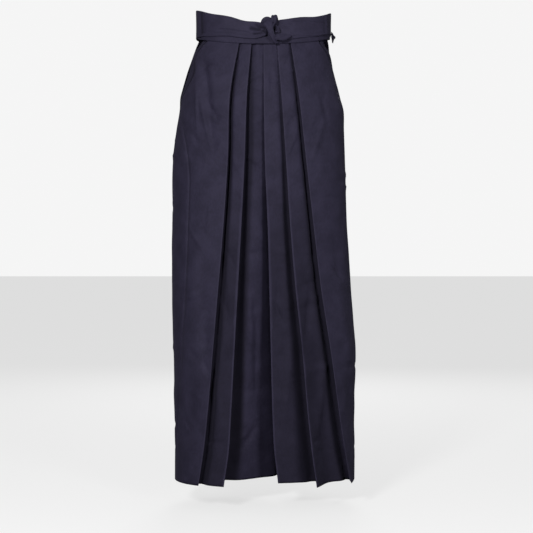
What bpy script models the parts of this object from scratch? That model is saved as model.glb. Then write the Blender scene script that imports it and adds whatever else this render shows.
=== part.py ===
"""Divided hakama trousers, worn and filled out, with an empty hollow where the body would be.

Metres. +Z is up, +X is the wearer's left, and the front faces -Y. The origin is the centre of the
waist, level with the middle of the front waistband. The hem hangs 0.95 m below the waist seam.

Each panel is one wall of cloth through level sections. A section follows the body curve, a rounded
outline of the filled garment, and each pleat is a pair of hairpin folds set in from that curve.
"""

from collections import namedtuple

import bmesh
import bpy
import numpy as np

# ---- Driving sizes, in metres ----
WAIST_SEAM = -0.020  # height of the seam under the front waistband at the centre front
LENGTH = 0.950  # waist seam to hem
HEM = WAIST_SEAM - LENGTH
BAND_WIDTH = 0.040  # front waistband
CLOTH = 0.0010  # wall of one layer
SEAM_GAP = 0.0003  # between two pieces that are sewn together
PITCH = CLOTH + SEAM_GAP  # from one pressed layer to the next
CROTCH = -0.450  # height of the top of the gussets
VENT_END = -0.145  # height where the side vents close
SIDE_RISE = 0.036  # how far the waist seam climbs from the front to the back
RISE_SPAN = 125.0  # degrees from the centre front over which it climbs
ROUNDNESS = 2.3  # exponent of the body curve, 2 for an ellipse
OPENING_POWER = 1.3  # pleats open slowly near the waist and faster near the hem

# ---- The body curve: how far the filled cloth reaches at each height ----
Body = namedtuple("Body", "height left right front back")
BODY = (
    Body(-0.020, -0.148, 0.146, 0.105, 0.100),
    Body(-0.041, -0.157, 0.149, 0.108, 0.105),
    Body(-0.087, -0.176, 0.158, 0.114, 0.114),
    Body(-0.127, -0.187, 0.171, 0.118, 0.120),
    Body(-0.148, -0.188, 0.177, 0.120, 0.124),
    Body(-0.193, -0.195, 0.179, 0.123, 0.129),
    Body(-0.265, -0.203, 0.181, 0.128, 0.133),
    Body(-0.406, -0.205, 0.185, 0.132, 0.131),
    Body(-0.550, -0.205, 0.195, 0.135, 0.130),
    Body(-0.678, -0.203, 0.203, 0.138, 0.131),
    Body(-0.828, -0.199, 0.203, 0.142, 0.133),
    Body(-0.970, -0.199, 0.202, 0.146, 0.135),
)

# ---- Pleats ----
# across: where the fold's edge is at each of FOLD_HEIGHTS, in millimetres from the centre.
# under: how far the cloth goes back underneath, at the waist and at the hem, in millimetres.
# edge and turn: how deep inside the body curve the two layers of the visible edge, and of the
# hidden turn behind it, lie, as (outer at waist, inner at waist, outer at hem, inner at hem).
FOLD_HEIGHTS = (-0.020, -0.122, -0.265, -0.406, -0.550, -0.678, -0.828, -0.892, -0.970)
Pleat = namedtuple("Pleat", "across under edge turn")
PLEAT_A = Pleat(
    (-54, -72, -77, -86, -98, -109, -122, -129, -141),
    (-24, -25), (0, 1.3, 0, 3), (1.8, 3.1, 14, 20),
)
PLEAT_B = Pleat(
    (-27, -36, -41, -48, -56, -63, -71, -75, -86),
    (-24, -36), (2.6, 3.9, 10, 14), (4.4, 7.8, 39, 47),
)
PLEAT_C = Pleat(
    (-1, 0, 2, 8, 12, 15, 19, 22, 31),
    (10, 12), (5.2, 6.5, 61, 65), (6.5, 6.5, 124, 124),
)
PLEAT_D = Pleat(
    (28, 37, 47, 56, 68, 82, 95, 102, 113),
    (24, 30), (2.6, 3.9, -5, 0), (4.2, 5.5, 55, 63),
)
PLEAT_E = Pleat(
    (58, 74, 90, 106, 123, 143, 164, 174, 190),
    (24, 1), (0, 1.3, -22, -19.5), (1.8, 3.1, 21, 25),
)
BACK_PLEAT = Pleat(
    (-9, -11, -15, -21, -27, -33, -41, -44, -49),
    (-28, -42), (0, 1.3, 0, 4), (1.8, 3.1, 14, 20),
)

# Lines of cloth between the pleats: across and depth in millimetres at the waist, crotch and hem.
Line = namedtuple("Line", "across depth")
CENTRE_PANEL = (
    Line((-27, -48, -87), (7.8, 32, 79)),
    Line((-14, -24, -42), (7.8, 36, 103)),
    Line((0, -2, -7), (7.8, 47, 130)),
    Line((12, 14, 24), (7.8, 74, 152)),
    Line((22, 21, 33), (7.8, 128, 190)),
)
LEFT_INSIDE = Line((23.6, 23.1, 37), (6.5, 126.7, 195))
D_STRIP_MIDDLE = Line((40, 84, 144), (2.6, 6, 43))
BACK_INSIDE = Line((-18, 2, -22), (2.6, 50, 24))
BACK_SEAM = Line((-0.2, 19.7, 3), (2.6, 86, 25))
LEFT_BACK_INSIDE = Line((18, 40, 66), (2.6, 50, 24))
LEFT_BACK_SEAM = Line((0.2, 21.3, 42), (2.6, 86, 25))
SEAM_TURN = 0.0009  # the back seam's two edges turn in face to face below the waist
SEAM_TURN_DEPTH = 0.030

# ---- Side edges, in degrees round from the centre front ----
# A front panel's edge slants out along the vent, and is its side seam from there to the hem.
Side = namedtuple("Side", "height right left")
FRONT_EDGES = (
    Side(-0.010, 49, 50),
    Side(-0.030, 57, 55),
    Side(-0.050, 63, 65.5),
    Side(-0.085, 56.5, 80),
    Side(-0.115, 64, 87),
    Side(VENT_END, 78, 94),
    Side(-0.200, 62, 95),
    Side(-0.265, 51, 95),
    Side(-0.406, 50, 95),
    Side(-0.550, 53, 95),
    Side(-0.678, 60, 95),
    Side(-0.828, 70, 95),
    Side(HEM, 84, 95),
)
# How much further round a back panel's edge stands, across the open vent.
VENT_WIDTHS = (
    Side(-0.010, 53, 54),
    Side(-0.050, 36, 35.5),
    Side(-0.085, 38.5, 19),
    Side(-0.115, 26, 9),
    Side(VENT_END, 0, 0),
)
SIDE_SEAM = 0.30  # degrees between the panels where they are sewn

LEAF_TOP = -0.0220
LEAF_WIDTH = 13.0  # degrees that the leaf-shaped fold shows beyond the front edge at its widest
LEAF_INWARD = 0.0024  # how far under the front panel the fold lies

# ---- Heights of the sections of a panel ----
PANEL_TOP = -0.0130  # inside the folded waistband
VENT_ROWS = (-0.020, -0.034, -0.052, -0.080, -0.112)
LEG_ROWS = (
    VENT_END, -0.185, -0.225, -0.290, -0.360, -0.430,
    -0.505, -0.580, -0.655, -0.735, -0.815, -0.895, HEM,
)

# ---- Waistband, ties, board and knot ----
Ring = namedtuple("Ring", "angle inner")  # degrees from the front; depth of the band's inner layer
BAND_INNER = (
    Ring(0, 9.4),
    Ring(22, 9.4),
    Ring(34, 4.9),
    Ring(42, 2.2),
    Ring(58, 2.2),
    Ring(70, 0.2),
    Ring(180, 0.2),
)
RING_ANGLES = tuple(range(-180, 181, 9))  # shared, so that layers round the waist stay parallel
Tie = namedtuple("Tie", "angle lower upper outward")
BACK_TIE_RIGHT = (
    Tie(-2, -0.0125, 0.0235, 0.0050),
    Tie(-12, -0.0085, 0.0290, 0.0036),
    Tie(-25, -0.0030, 0.0395, 0.0034),
    Tie(-46, 0.0010, 0.0490, 0.0034),
    Tie(-68, 0.0060, 0.0610, 0.0034),
    Tie(-88, 0.0090, 0.0680, 0.0034),
    Tie(-106, 0.0110, 0.0660, 0.0040),
    Tie(-129, 0.0140, 0.0570, 0.0050),
)
BACK_TIE_LEFT = (
    Tie(7.5, -0.0140, 0.0250, 0.0042),
    Tie(16, -0.0120, 0.0335, 0.0036),
    Tie(28, -0.0060, 0.0390, 0.0034),
    Tie(46, 0.0010, 0.0440, 0.0034),
    Tie(62, 0.0090, 0.0530, 0.0034),
    Tie(84, 0.0170, 0.0650, 0.0034),
    Tie(106, 0.0160, 0.0650, 0.0040),
    Tie(129, 0.0140, 0.0570, 0.0050),
)
TIE_PLACES = (0, 0.33, 0.67, 1)
TIE_THICKNESS = 0.0020  # a tie is cloth folded over on itself
BOARD_THICKNESS = 0.0035
BOARD_OUTWARD = 0.0052
BOARD_BOTTOM = 0.0125
BOARD_TOP = 0.0700
BOARD_HALF_ANGLES = (50.0, 37.0)  # at its bottom and at its top, degrees from the centre back
# Knot, in metres. out: middle of the wall ahead of the ties; up: height; across: middle; width.
KNOT_FRONT = 0.0062  # how far the ties' faces stand outside the body curve
Turn = namedtuple("Turn", "out up across width")
KNOT_TURN = (
    Turn(0.0042, -0.0180, 0.0095, 0.0240),
    Turn(0.0105, -0.0140, 0.0090, 0.0280),
    Turn(0.0155, -0.0030, 0.0080, 0.0290),
    Turn(0.0155, 0.0090, 0.0065, 0.0280),
    Turn(0.0115, 0.0190, 0.0060, 0.0230),
    Turn(0.0050, 0.0235, 0.0060, 0.0180),
)
KNOT_TAIL_UPPER = (
    Turn(0.0040, 0.0170, 0.0252, 0.0120),
    Turn(0.0100, 0.0230, 0.0250, 0.0125),
    Turn(0.0095, 0.0305, 0.0238, 0.0120),
    Turn(0.0040, 0.0325, 0.0235, 0.0100),
)
KNOT_TAIL_LOWER = (
    Turn(0.0040, -0.0180, 0.0390, 0.0260),
    Turn(0.0095, -0.0140, 0.0380, 0.0270),
    Turn(0.0100, -0.0030, 0.0360, 0.0240),
    Turn(0.0055, 0.0060, 0.0330, 0.0170),
)
KNOT_THICKNESS = 0.0070
TAIL_THICKNESS = 0.0040
NAVY = (0.0296, 0.0262, 0.0472, 1.0)
NAVY_SHADE = (0.0240, 0.0210, 0.0390, 1.0)


def smooth(places, values, at):
    """Value at a place on a smooth curve through the given values."""
    places = np.asarray(places, float)
    values = np.asarray(values, float)
    if places[0] > places[-1]:
        places, values = places[::-1], values[::-1]
    slopes = np.gradient(values, places)
    left = int(np.clip(np.searchsorted(places, at) - 1, 0, len(places) - 2))
    span = places[left + 1] - places[left]
    t = float(np.clip((at - places[left]) / span, 0, 1))
    start = (2 * t**3 - 3 * t**2 + 1) * values[left] + (t**3 - 2 * t**2 + t) * span * slopes[left]
    end = (3 * t**2 - 2 * t**3) * values[left + 1] + (t**3 - t**2) * span * slopes[left + 1]
    return start + end


def column(rows, name, at, key):
    """A named column of a table, read smoothly at a place along its key column."""
    return smooth([getattr(row, key) for row in rows], [getattr(row, name) for row in rows], at)


def mix(start, end, share):
    return start + (end - start) * share


def opened(height):
    """How far the pleats have opened, 0 at the waist seam and 1 at the hem."""
    return float(np.clip((WAIST_SEAM - height) / LENGTH, 0, 1)) ** OPENING_POWER


def rise(angle, height):
    """How far a level section climbs towards the back, fading out at the foot of the vents."""
    around = 0.5 - 0.5 * np.cos(np.pi * min(abs(angle) / RISE_SPAN, 1.0))
    fade = float(np.clip((height - VENT_END) / (WAIST_SEAM - VENT_END), 0, 1))
    return SIDE_RISE * around * fade * fade * (3 - 2 * fade)


class Section:
    """The body curve at one height. Angles run in degrees from the front, positive to the wearer's left."""

    def __init__(self, height):
        at = max(min(height, WAIST_SEAM), HEM)
        self.height = height
        left = column(BODY, "left", at, "height")
        right = column(BODY, "right", at, "height")
        self.centre = (left + right) / 2
        self.half = (right - left) / 2
        self.front = column(BODY, "front", at, "height")
        self.back = column(BODY, "back", at, "height")

    def angle(self, across):
        """Angle of the place on the front half that is this far across."""
        share = float(np.clip((across - self.centre) / self.half, -1, 1))
        return float(np.degrees(np.arcsin(np.sign(share) * abs(share) ** (ROUNDNESS / 2))))

    def flat(self, angle, outward=0.0):
        """(x, y) at an angle, moved outwards along the curve's normal."""
        def place(degrees):
            s, c = np.sin(np.radians(degrees)), np.cos(np.radians(degrees))
            reach = self.front if c >= 0 else self.back
            x = self.centre + self.half * np.sign(s) * abs(s) ** (2 / ROUNDNESS)
            return np.array([x, -reach * np.sign(c) * abs(c) ** (2 / ROUNDNESS)])
        ahead = place(angle + 0.5) - place(angle - 0.5)
        normal = np.array([ahead[1], -ahead[0]]) / np.hypot(*ahead)
        return place(angle) + normal * outward

    def round_point(self, angle, outward=0.0):
        x, y = self.flat(angle, outward)
        return (x, y, self.height + rise(angle, self.height))

    def front_point(self, across, depth):
        """A point this far across and this deep behind the front of the body curve."""
        angle = self.angle(across)
        return (across, self.flat(angle)[1] + depth, self.height + rise(angle, self.height))

    def back_point(self, across, depth):
        angle = 180.0 - self.angle(across)
        return (across, self.flat(angle)[1] - depth, self.height + rise(angle, self.height))


def fold_place(pleat, height):
    """Where a pleat's edge and its hidden turn are at a height, and how deep their layers lie."""
    share = opened(height)
    across = smooth(FOLD_HEIGHTS, pleat.across, max(min(height, WAIST_SEAM), HEM)) / 1000
    turn = across + mix(pleat.under[0], pleat.under[1], share) / 1000
    edge_depths = [mix(pleat.edge[i], pleat.edge[i + 2], share) / 1000 for i in (0, 1)]
    turn_depths = [mix(pleat.turn[i], pleat.turn[i + 2], share) / 1000 for i in (0, 1)]
    return across, edge_depths, turn, turn_depths


def hairpin(point, across, depths, facing, tuck=1.0):
    """Three points round a fold that faces +1 or -1 across: outer layer, nose and inner layer.

    The inner layer's point stands back from the nose by the share tuck of the outer layer's.
    """
    outer, inner = depths
    nose = facing * (inner - outer)
    return [
        point(across - nose, outer),
        point(across, (outer + inner) / 2),
        point(across - nose * tuck, inner),
    ]


def between(point, start, end, steps):
    """Points between two (across, depth) places, leaving out both ends."""
    shares = [i / steps for i in range(1, steps)]
    return [point(mix(start[0], end[0], s), mix(start[1], end[1], s)) for s in shares]


def line_place(line, height):
    """(across, depth) in metres of a line of cloth at a height."""
    at = max(min(height, WAIST_SEAM), HEM)
    heights = (WAIST_SEAM, CROTCH, HEM)
    return smooth(heights, line.across, at) / 1000, smooth(heights, line.depth, at) / 1000


def pleated(point, pleat, height, facing, tuck=1.0, steps=3):
    """One pleat from its visible edge to its hidden turn, with the layer between them."""
    across, edge, turn, hidden = fold_place(pleat, height)
    first = hairpin(point, across, edge, facing, tuck)
    last = hairpin(point, turn, hidden, -facing)
    layer = between(point, (across, edge[1]), (turn, hidden[0]), steps)
    return first + layer + last, (across, edge[0]), (turn, hidden[1])


def front_edge(height, hand):
    """Angle of a front panel's side edge; hand is -1 for the wearer's right and +1 for the left."""
    return column(FRONT_EDGES, "right" if hand < 0 else "left", height, "height")


def back_edge(height, hand):
    """Angle of a back panel's side edge, which meets the front panel's below the vent."""
    width = 0.0
    if height > VENT_END:
        width = max(column(VENT_WIDTHS, "right" if hand < 0 else "left", height, "height"), 0.0)
    return front_edge(height, hand) + width + SIDE_SEAM


def closer(steps):
    """Shares of the way along a panel, set closer together at its pleat end, where layers lie together."""
    return [(i / steps) ** 1.6 for i in range(1, steps + 1)]


def panel_angles(start, hand, height):
    """Angles of a front panel's outer face, from its last pleat to its side edge."""
    return [mix(start, hand * front_edge(height, hand), share) for share in closer(6)]


def front_right_row(height):
    """Side seam, pleats A and B that face the centre, and the centre panel back to the inner leg."""
    section = Section(height)
    point = section.front_point
    pleat_a, place_a, under_a = pleated(point, PLEAT_A, height, 1)
    pleat_b, place_b, under_b = pleated(point, PLEAT_B, height, 1)
    angles = panel_angles(section.angle(place_a[0] - 0.004), -1, height)[::-1]
    panel = [section.round_point(angle) for angle in angles]
    strip = between(point, under_a, place_b, 3)
    centre = [point(*line_place(line, height)) for line in CENTRE_PANEL]
    return panel + pleat_a + strip + pleat_b + centre


def front_left_row(height):
    """Inner leg, pleats C, D and E that face the centre from the other side, and the side seam."""
    section = Section(height)
    point = section.front_point
    across, edge, turn, hidden = fold_place(PLEAT_C, height)
    inside = [point(*line_place(LEFT_INSIDE, height)), point(turn, hidden[0])]
    inside += between(point, (turn, hidden[0]), (across, edge[1]), 2)
    inside += hairpin(point, across, edge, -1)[::-1]
    pleat_d, place_d, under_d = pleated(point, PLEAT_D, height, -1)
    pleat_e, place_e, under_e = pleated(point, PLEAT_E, height, -1, 1 - opened(height))
    strip_c = between(point, (across, edge[0]), under_d, 4)
    middle = line_place(D_STRIP_MIDDLE, height)
    strip_d = between(point, place_d, middle, 2) + [point(*middle)]
    strip_d += between(point, middle, under_e, 2)
    angles = panel_angles(section.angle(place_e[0] + 0.004), 1, height)
    panel = []
    for step, angle in enumerate(angles, 1):
        x, y, z = section.round_point(angle)
        panel.append((x, y + min(place_e[1], 0) * (1 - step / len(angles)) ** 2, z))
    return inside + strip_c + pleat_d[::-1] + strip_d + pleat_e[::-1] + panel


def back_row(height, hand):
    """A back panel, from the side to its pleat and on to the centre back, or to the inner leg."""
    section = Section(height)
    inside = line_place(BACK_INSIDE if hand < 0 else LEFT_BACK_INSIDE, height)
    across, depth = line_place(BACK_SEAM if hand < 0 else LEFT_BACK_SEAM, height)
    across += hand * SEAM_TURN * min((WAIST_SEAM - height) / SEAM_TURN_DEPTH, 1.0)

    def point(across, depth):
        return section.back_point(across if hand < 0 else -across, depth)

    pleat, place, under = pleated(point, BACK_PLEAT, height, 1)
    edge = hand * (180 - abs(section.angle(-hand * (place[0] - 0.004))))
    side = hand * back_edge(height, hand)
    panel = [section.round_point(mix(edge, side, share)) for share in closer(7)][::-1]
    return panel + pleat + [section.back_point(*inside), section.back_point(across, depth)]


def gusset_row(height, front_line, back_line):
    """Inner leg, from the front panel's inner edge to the back panel's."""
    section = Section(height)
    front = np.array(section.front_point(*line_place(front_line, height)))
    back = np.array(section.back_point(*line_place(back_line, height)))
    reach = np.hypot(*(back - front)[:2])
    step = (back - front) * (CLOTH / 2 + SEAM_GAP) / reach
    return [tuple(mix(front + step, back - step, share)) for share in (0, 0.33, 0.67, 1)]


def leaf_row(height, hand):
    """The leaf-shaped fold that lies under a front panel's slanted edge at the vent."""
    section = Section(height)
    pleat = PLEAT_A if hand < 0 else PLEAT_E
    start = section.angle(fold_place(pleat, height)[0] + hand * 0.004)
    inner, edge = panel_angles(start, hand, height)[-2:]
    share = (height - VENT_END) / (WAIST_SEAM - VENT_END)
    vent = back_edge(height, hand) - abs(edge)
    width = LEAF_WIDTH * np.sin(np.pi * np.clip(share, 0.03, 0.88)) ** 0.5
    leaf = hand * (0.8 + min(width, 0.6 * vent))
    angles = (inner, edge, edge + leaf / 2, edge + leaf)
    return [section.round_point(angle, -LEAF_INWARD) for angle in angles]


def add_object(name, work, material):
    mesh = bpy.data.meshes.new(name)
    bmesh.ops.recalc_face_normals(work, faces=work.faces)
    work.to_mesh(mesh)
    work.free()
    solid = bpy.data.objects.new(name, mesh)
    solid.data.materials.append(material)
    PARTS.objects.link(solid)
    return solid


def sheet(name, rows, thickness, material, closed=False):
    """A wall of cloth whose middle passes through rows of points."""
    work = bmesh.new()
    bmesh.ops.create_grid(work, x_segments=len(rows[0]) - 1, y_segments=len(rows) - 1, size=1.0)
    points = [point for row in rows for point in row]
    for vert, point in zip(sorted(work.verts, key=lambda v: v.index), points, strict=True):
        vert.co = point
    if closed:
        bmesh.ops.remove_doubles(work, verts=work.verts, dist=1e-6)
    solid = add_object(name, work, material)
    wall = solid.modifiers.new("Cloth", "SOLIDIFY")
    wall.thickness = thickness
    wall.offset = 0.0
    wall.use_even_offset = True
    return solid


def panel_rows(row, *options):
    return [row(height, *options) for height in (PANEL_TOP, *VENT_ROWS, *LEG_ROWS)]


def waistband_rows():
    """The folded front band, open along its lower edge, whose ties run on round to the back."""
    section = Section(WAIST_SEAM)
    low, high = WAIST_SEAM, WAIST_SEAM + BAND_WIDTH
    outer, turn = 0.0015, 0.0008
    rows = []
    for angle in RING_ANGLES:
        depths = [ring.inner / 1000 for ring in BAND_INNER]
        inner = -np.interp(abs(angle), [ring.angle for ring in BAND_INNER], depths)
        profile = (
            (outer, low), (outer, (low + high) / 2), (outer, high - turn),
            (outer - turn / 2, high), (inner + turn / 2, high),
            (inner, high - turn), (inner, low),
        )
        climb = rise(angle, WAIST_SEAM)
        row = []
        for out, height in profile:
            x, y = section.flat(angle, out)
            row.append((x, y, height + climb))
        rows.append(row)
    return rows


def waist_strip(rows, angle, places):
    """Points up a tie at an angle, read smoothly from its table."""
    section = Section(WAIST_SEAM)
    low, high, out = (column(rows, name, angle, "angle") for name in ("lower", "upper", "outward"))
    return [(*section.flat(angle, out), mix(low, high, place)) for place in places]


def board_edge(height):
    """Angle from the front of the board's slanted side at a height."""
    share = (height - BOARD_BOTTOM) / (BOARD_TOP - BOARD_BOTTOM)
    return 180 - mix(BOARD_HALF_ANGLES[0], BOARD_HALF_ANGLES[1], share)


def tie_rows(rows):
    """A back tie from the board's edge round to the knot."""
    section = Section(WAIST_SEAM)
    hand = np.sign(rows[-1].angle)
    knot, side = abs(rows[0].angle), 108.0
    angles = [knot] + [angle for angle in RING_ANGLES if knot + 2 < angle <= side]
    grid = [waist_strip(rows, hand * angle, TIE_PLACES) for angle in angles]
    for share in (0.43, 0.86, 1.0):
        strip = []
        for place in TIE_PLACES:
            end = board_edge(mix(rows[-1].lower, rows[-1].upper, place)) - 0.5
            angle = mix(side, end, share)
            at = hand * min(angle, abs(rows[-1].angle))
            names = ("lower", "upper", "outward")
            low, high, out = (column(rows, name, at, "angle") for name in names)
            strip.append((*section.flat(hand * angle, out), mix(low, high, place)))
        grid.append(strip)
    return grid


def board_rows():
    section = Section(WAIST_SEAM)
    rows = []
    for place in (0, 0.5, 1):
        height = mix(BOARD_BOTTOM, BOARD_TOP, place)
        half = 180 - board_edge(height)
        angles = 180 - half * np.linspace(-1, 1, 13)
        rows.append([(*section.flat(angle, BOARD_OUTWARD), height) for angle in angles])
    return rows


def knot_rows(turns):
    """A short stretch of tie that bulges over the front of the waist, crowned across its width."""
    front = Section(WAIST_SEAM).flat(0.0)[1] - KNOT_FRONT
    rows = []
    for turn in turns:
        crown = 0.13 * turn.out
        rows.append([
            (turn.across + turn.width / 2 * s, front - turn.out + crown * s * s, turn.up + 0.0015 * s)
            for s in (-1, -0.5, 0, 0.5, 1)
        ])
    return rows


def tie_tip_rows():
    """The pointed end of the front tie, tucked out behind the wearer's left hip."""
    section = Section(WAIST_SEAM)
    rows = []
    for angle, outward, low, high in (
        (90, 0.0050, 0.0185, 0.0268), (93, 0.0060, 0.0070, 0.0250),
        (95, 0.0090, 0.0130, 0.0215), (97, 0.0145, 0.0165, 0.0195),
    ):
        rows.append([(*section.flat(angle, outward), mix(low, high, p)) for p in (0, 0.5, 1)])
    return rows


def cloth_material(name, colour, roughness):
    material = bpy.data.materials.new(name)
    material.use_nodes = True
    shader = material.node_tree.nodes["Principled BSDF"]
    shader.inputs["Base Color"].default_value = colour
    shader.inputs["Roughness"].default_value = roughness
    shader.inputs["Metallic"].default_value = 0.0
    return material


def build():
    leg = cloth_material("navy twill", NAVY, 0.85)
    under = cloth_material("navy twill, inner layers", NAVY_SHADE, 0.88)
    tie = cloth_material("navy twill, folded ties", NAVY, 0.80)
    gusset_heights = np.linspace(CROTCH - 0.004, HEM, 9)
    sheet("front_right", panel_rows(front_right_row), CLOTH, leg)
    sheet("front_left", panel_rows(front_left_row), CLOTH, leg)
    for name, hand in (("back_right", -1), ("back_left", 1)):
        heights = (WAIST_SEAM - 2 * SEAM_GAP, *VENT_ROWS[1:], *LEG_ROWS)
        sheet(name, [back_row(height, hand) for height in heights], CLOTH, leg)
    for name, lines in (
        ("gusset_right", (CENTRE_PANEL[-1], BACK_SEAM)),
        ("gusset_left", (LEFT_INSIDE, LEFT_BACK_SEAM)),
    ):
        sheet(name, [gusset_row(height, *lines) for height in gusset_heights], CLOTH, under)
    leaf_heights = (LEAF_TOP, *VENT_ROWS[1:], VENT_END)
    for name, hand in (("leaf_fold_right", -1), ("leaf_fold_left", 1)):
        sheet(name, [leaf_row(height, hand) for height in leaf_heights], CLOTH, under)
    sheet("front_waistband", waistband_rows(), CLOTH, tie, closed=True)
    sheet("back_tie_right", tie_rows(BACK_TIE_RIGHT), TIE_THICKNESS, tie)
    sheet("back_tie_left", tie_rows(BACK_TIE_LEFT), TIE_THICKNESS, tie)
    sheet("back_board", board_rows(), BOARD_THICKNESS, tie)
    sheet("knot_turn", knot_rows(KNOT_TURN), KNOT_THICKNESS, tie)
    sheet("knot_tail_upper", knot_rows(KNOT_TAIL_UPPER), TAIL_THICKNESS, tie)
    sheet("knot_tail_lower", knot_rows(KNOT_TAIL_LOWER), TAIL_THICKNESS, tie)
    sheet("tie_tip", tie_tip_rows(), CLOTH, under)


for leftover in list(bpy.data.objects):
    bpy.data.objects.remove(leftover, do_unlink=True)
PARTS = bpy.data.collections.new("hakama trousers")
bpy.context.scene.collection.children.link(PARTS)
build()
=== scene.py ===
# %% [markdown]
# # Hakama trousers in Blender
# A hakama is a pair of very full pleated trousers. Two deep legs hang from a waist seam. Five
# pleats are pressed into the front, and one into each back panel, and long ties hold it all up.
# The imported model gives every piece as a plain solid. Here each is rebuilt as thin cloth on the
# same sizes, with the folds, creases and wear that the solid leaves out.

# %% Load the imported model
from collections import namedtuple

import bmesh
import bpy
import numpy as np
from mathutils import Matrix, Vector


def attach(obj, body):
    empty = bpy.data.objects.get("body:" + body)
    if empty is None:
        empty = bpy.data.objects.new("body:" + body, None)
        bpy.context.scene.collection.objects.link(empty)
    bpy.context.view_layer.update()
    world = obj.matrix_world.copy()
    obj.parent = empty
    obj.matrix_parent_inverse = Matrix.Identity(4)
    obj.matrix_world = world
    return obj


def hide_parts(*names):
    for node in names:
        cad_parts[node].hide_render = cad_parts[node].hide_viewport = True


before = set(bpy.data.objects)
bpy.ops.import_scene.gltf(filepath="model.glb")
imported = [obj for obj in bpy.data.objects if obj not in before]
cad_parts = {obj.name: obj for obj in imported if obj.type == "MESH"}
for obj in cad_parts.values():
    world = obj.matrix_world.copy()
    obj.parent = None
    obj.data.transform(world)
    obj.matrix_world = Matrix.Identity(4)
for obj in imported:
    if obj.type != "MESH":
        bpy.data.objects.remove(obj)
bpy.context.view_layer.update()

print("nodes to replace:", len(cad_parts))

# %% [markdown]
# ## Sizes
# A hakama is sold by the length under its ties, from the waist seam to the hem. That size and
# the few below drive every piece. They repeat the sizes of the solid model, in metres, and
# heights are measured from the middle of the waist.

# %% Driving sizes
WAIST_SEAM = -0.020
LENGTH = 0.950
HEM = WAIST_SEAM - LENGTH
CROTCH = -0.450
VENT_END = -0.145  # foot of the openings at the hips
CLOTH = 0.0008  # thickness of one layer
print("waist seam to hem:", LENGTH, "m")

# %% [markdown]
# ## The body curve
# Worn trousers take a rounded outline at each height. It could be modelled from one stretched
# tube, but a table of a few heights keeps hips, knees and hem easy to correct. Cloth between
# them changes slowly, so a smooth curve through the table gives the rest.

# %% The outline at each height
Body = namedtuple("Body", "height left right front back")
BODY = (
    Body(-0.020, -0.148, 0.146, 0.105, 0.100),
    Body(-0.041, -0.157, 0.149, 0.108, 0.105),
    Body(-0.087, -0.176, 0.158, 0.114, 0.114),
    Body(-0.127, -0.187, 0.171, 0.118, 0.120),
    Body(-0.148, -0.188, 0.177, 0.120, 0.124),
    Body(-0.193, -0.195, 0.179, 0.123, 0.129),
    Body(-0.265, -0.203, 0.181, 0.128, 0.133),
    Body(-0.406, -0.205, 0.185, 0.132, 0.131),
    Body(-0.550, -0.205, 0.195, 0.135, 0.130),
    Body(-0.678, -0.203, 0.203, 0.138, 0.131),
    Body(-0.828, -0.199, 0.203, 0.142, 0.133),
    Body(-0.970, -0.199, 0.202, 0.146, 0.135),
)
print("outline heights:", len(BODY))

# %% Smooth curves through a table, and soft steps
def smooth(places, values, at):
    """Values at places on a smooth curve through the given values."""
    places, values = np.asarray(places, float), np.asarray(values, float)
    if places[0] > places[-1]:
        places, values = places[::-1], values[::-1]
    slopes = np.gradient(values, places)
    left = np.clip(np.searchsorted(places, at) - 1, 0, len(places) - 2)
    span = places[left + 1] - places[left]
    t = np.clip((at - places[left]) / span, 0, 1)
    start = (2 * t**3 - 3 * t**2 + 1) * values[left] + (t**3 - 2 * t**2 + t) * span * slopes[left]
    end = (3 * t**2 - 2 * t**3) * values[left + 1] + (t**3 - t**2) * span * slopes[left + 1]
    return start + end


def column(rows, name, at, key="height"):
    return smooth([getattr(r, key) for r in rows], [getattr(r, name) for r in rows], at)


def mix(start, end, share):
    return start + (end - start) * share


def step(low, high, value):
    """0 below low, 1 above high, and a soft step between."""
    t = np.clip((value - low) / (high - low), 0, 1)
    return t * t * (3 - 2 * t)


print("a soft step, a quarter of the way:", step(0, 1, 0.25))

# %% Places on the body
SIDE_RISE, RISE_SPAN = 0.036, 125.0  # how far the waist climbs, in how many degrees round
ROUNDNESS = 2.3  # 2 makes an ellipse, and more makes it squarer


def rise(angle, height):
    """The waist climbs towards the back, which fades out at the foot of the side vents."""
    around = 0.5 - 0.5 * np.cos(np.pi * np.minimum(np.abs(angle) / RISE_SPAN, 1.0))
    return SIDE_RISE * around * step(VENT_END, WAIST_SEAM, height)


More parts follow.
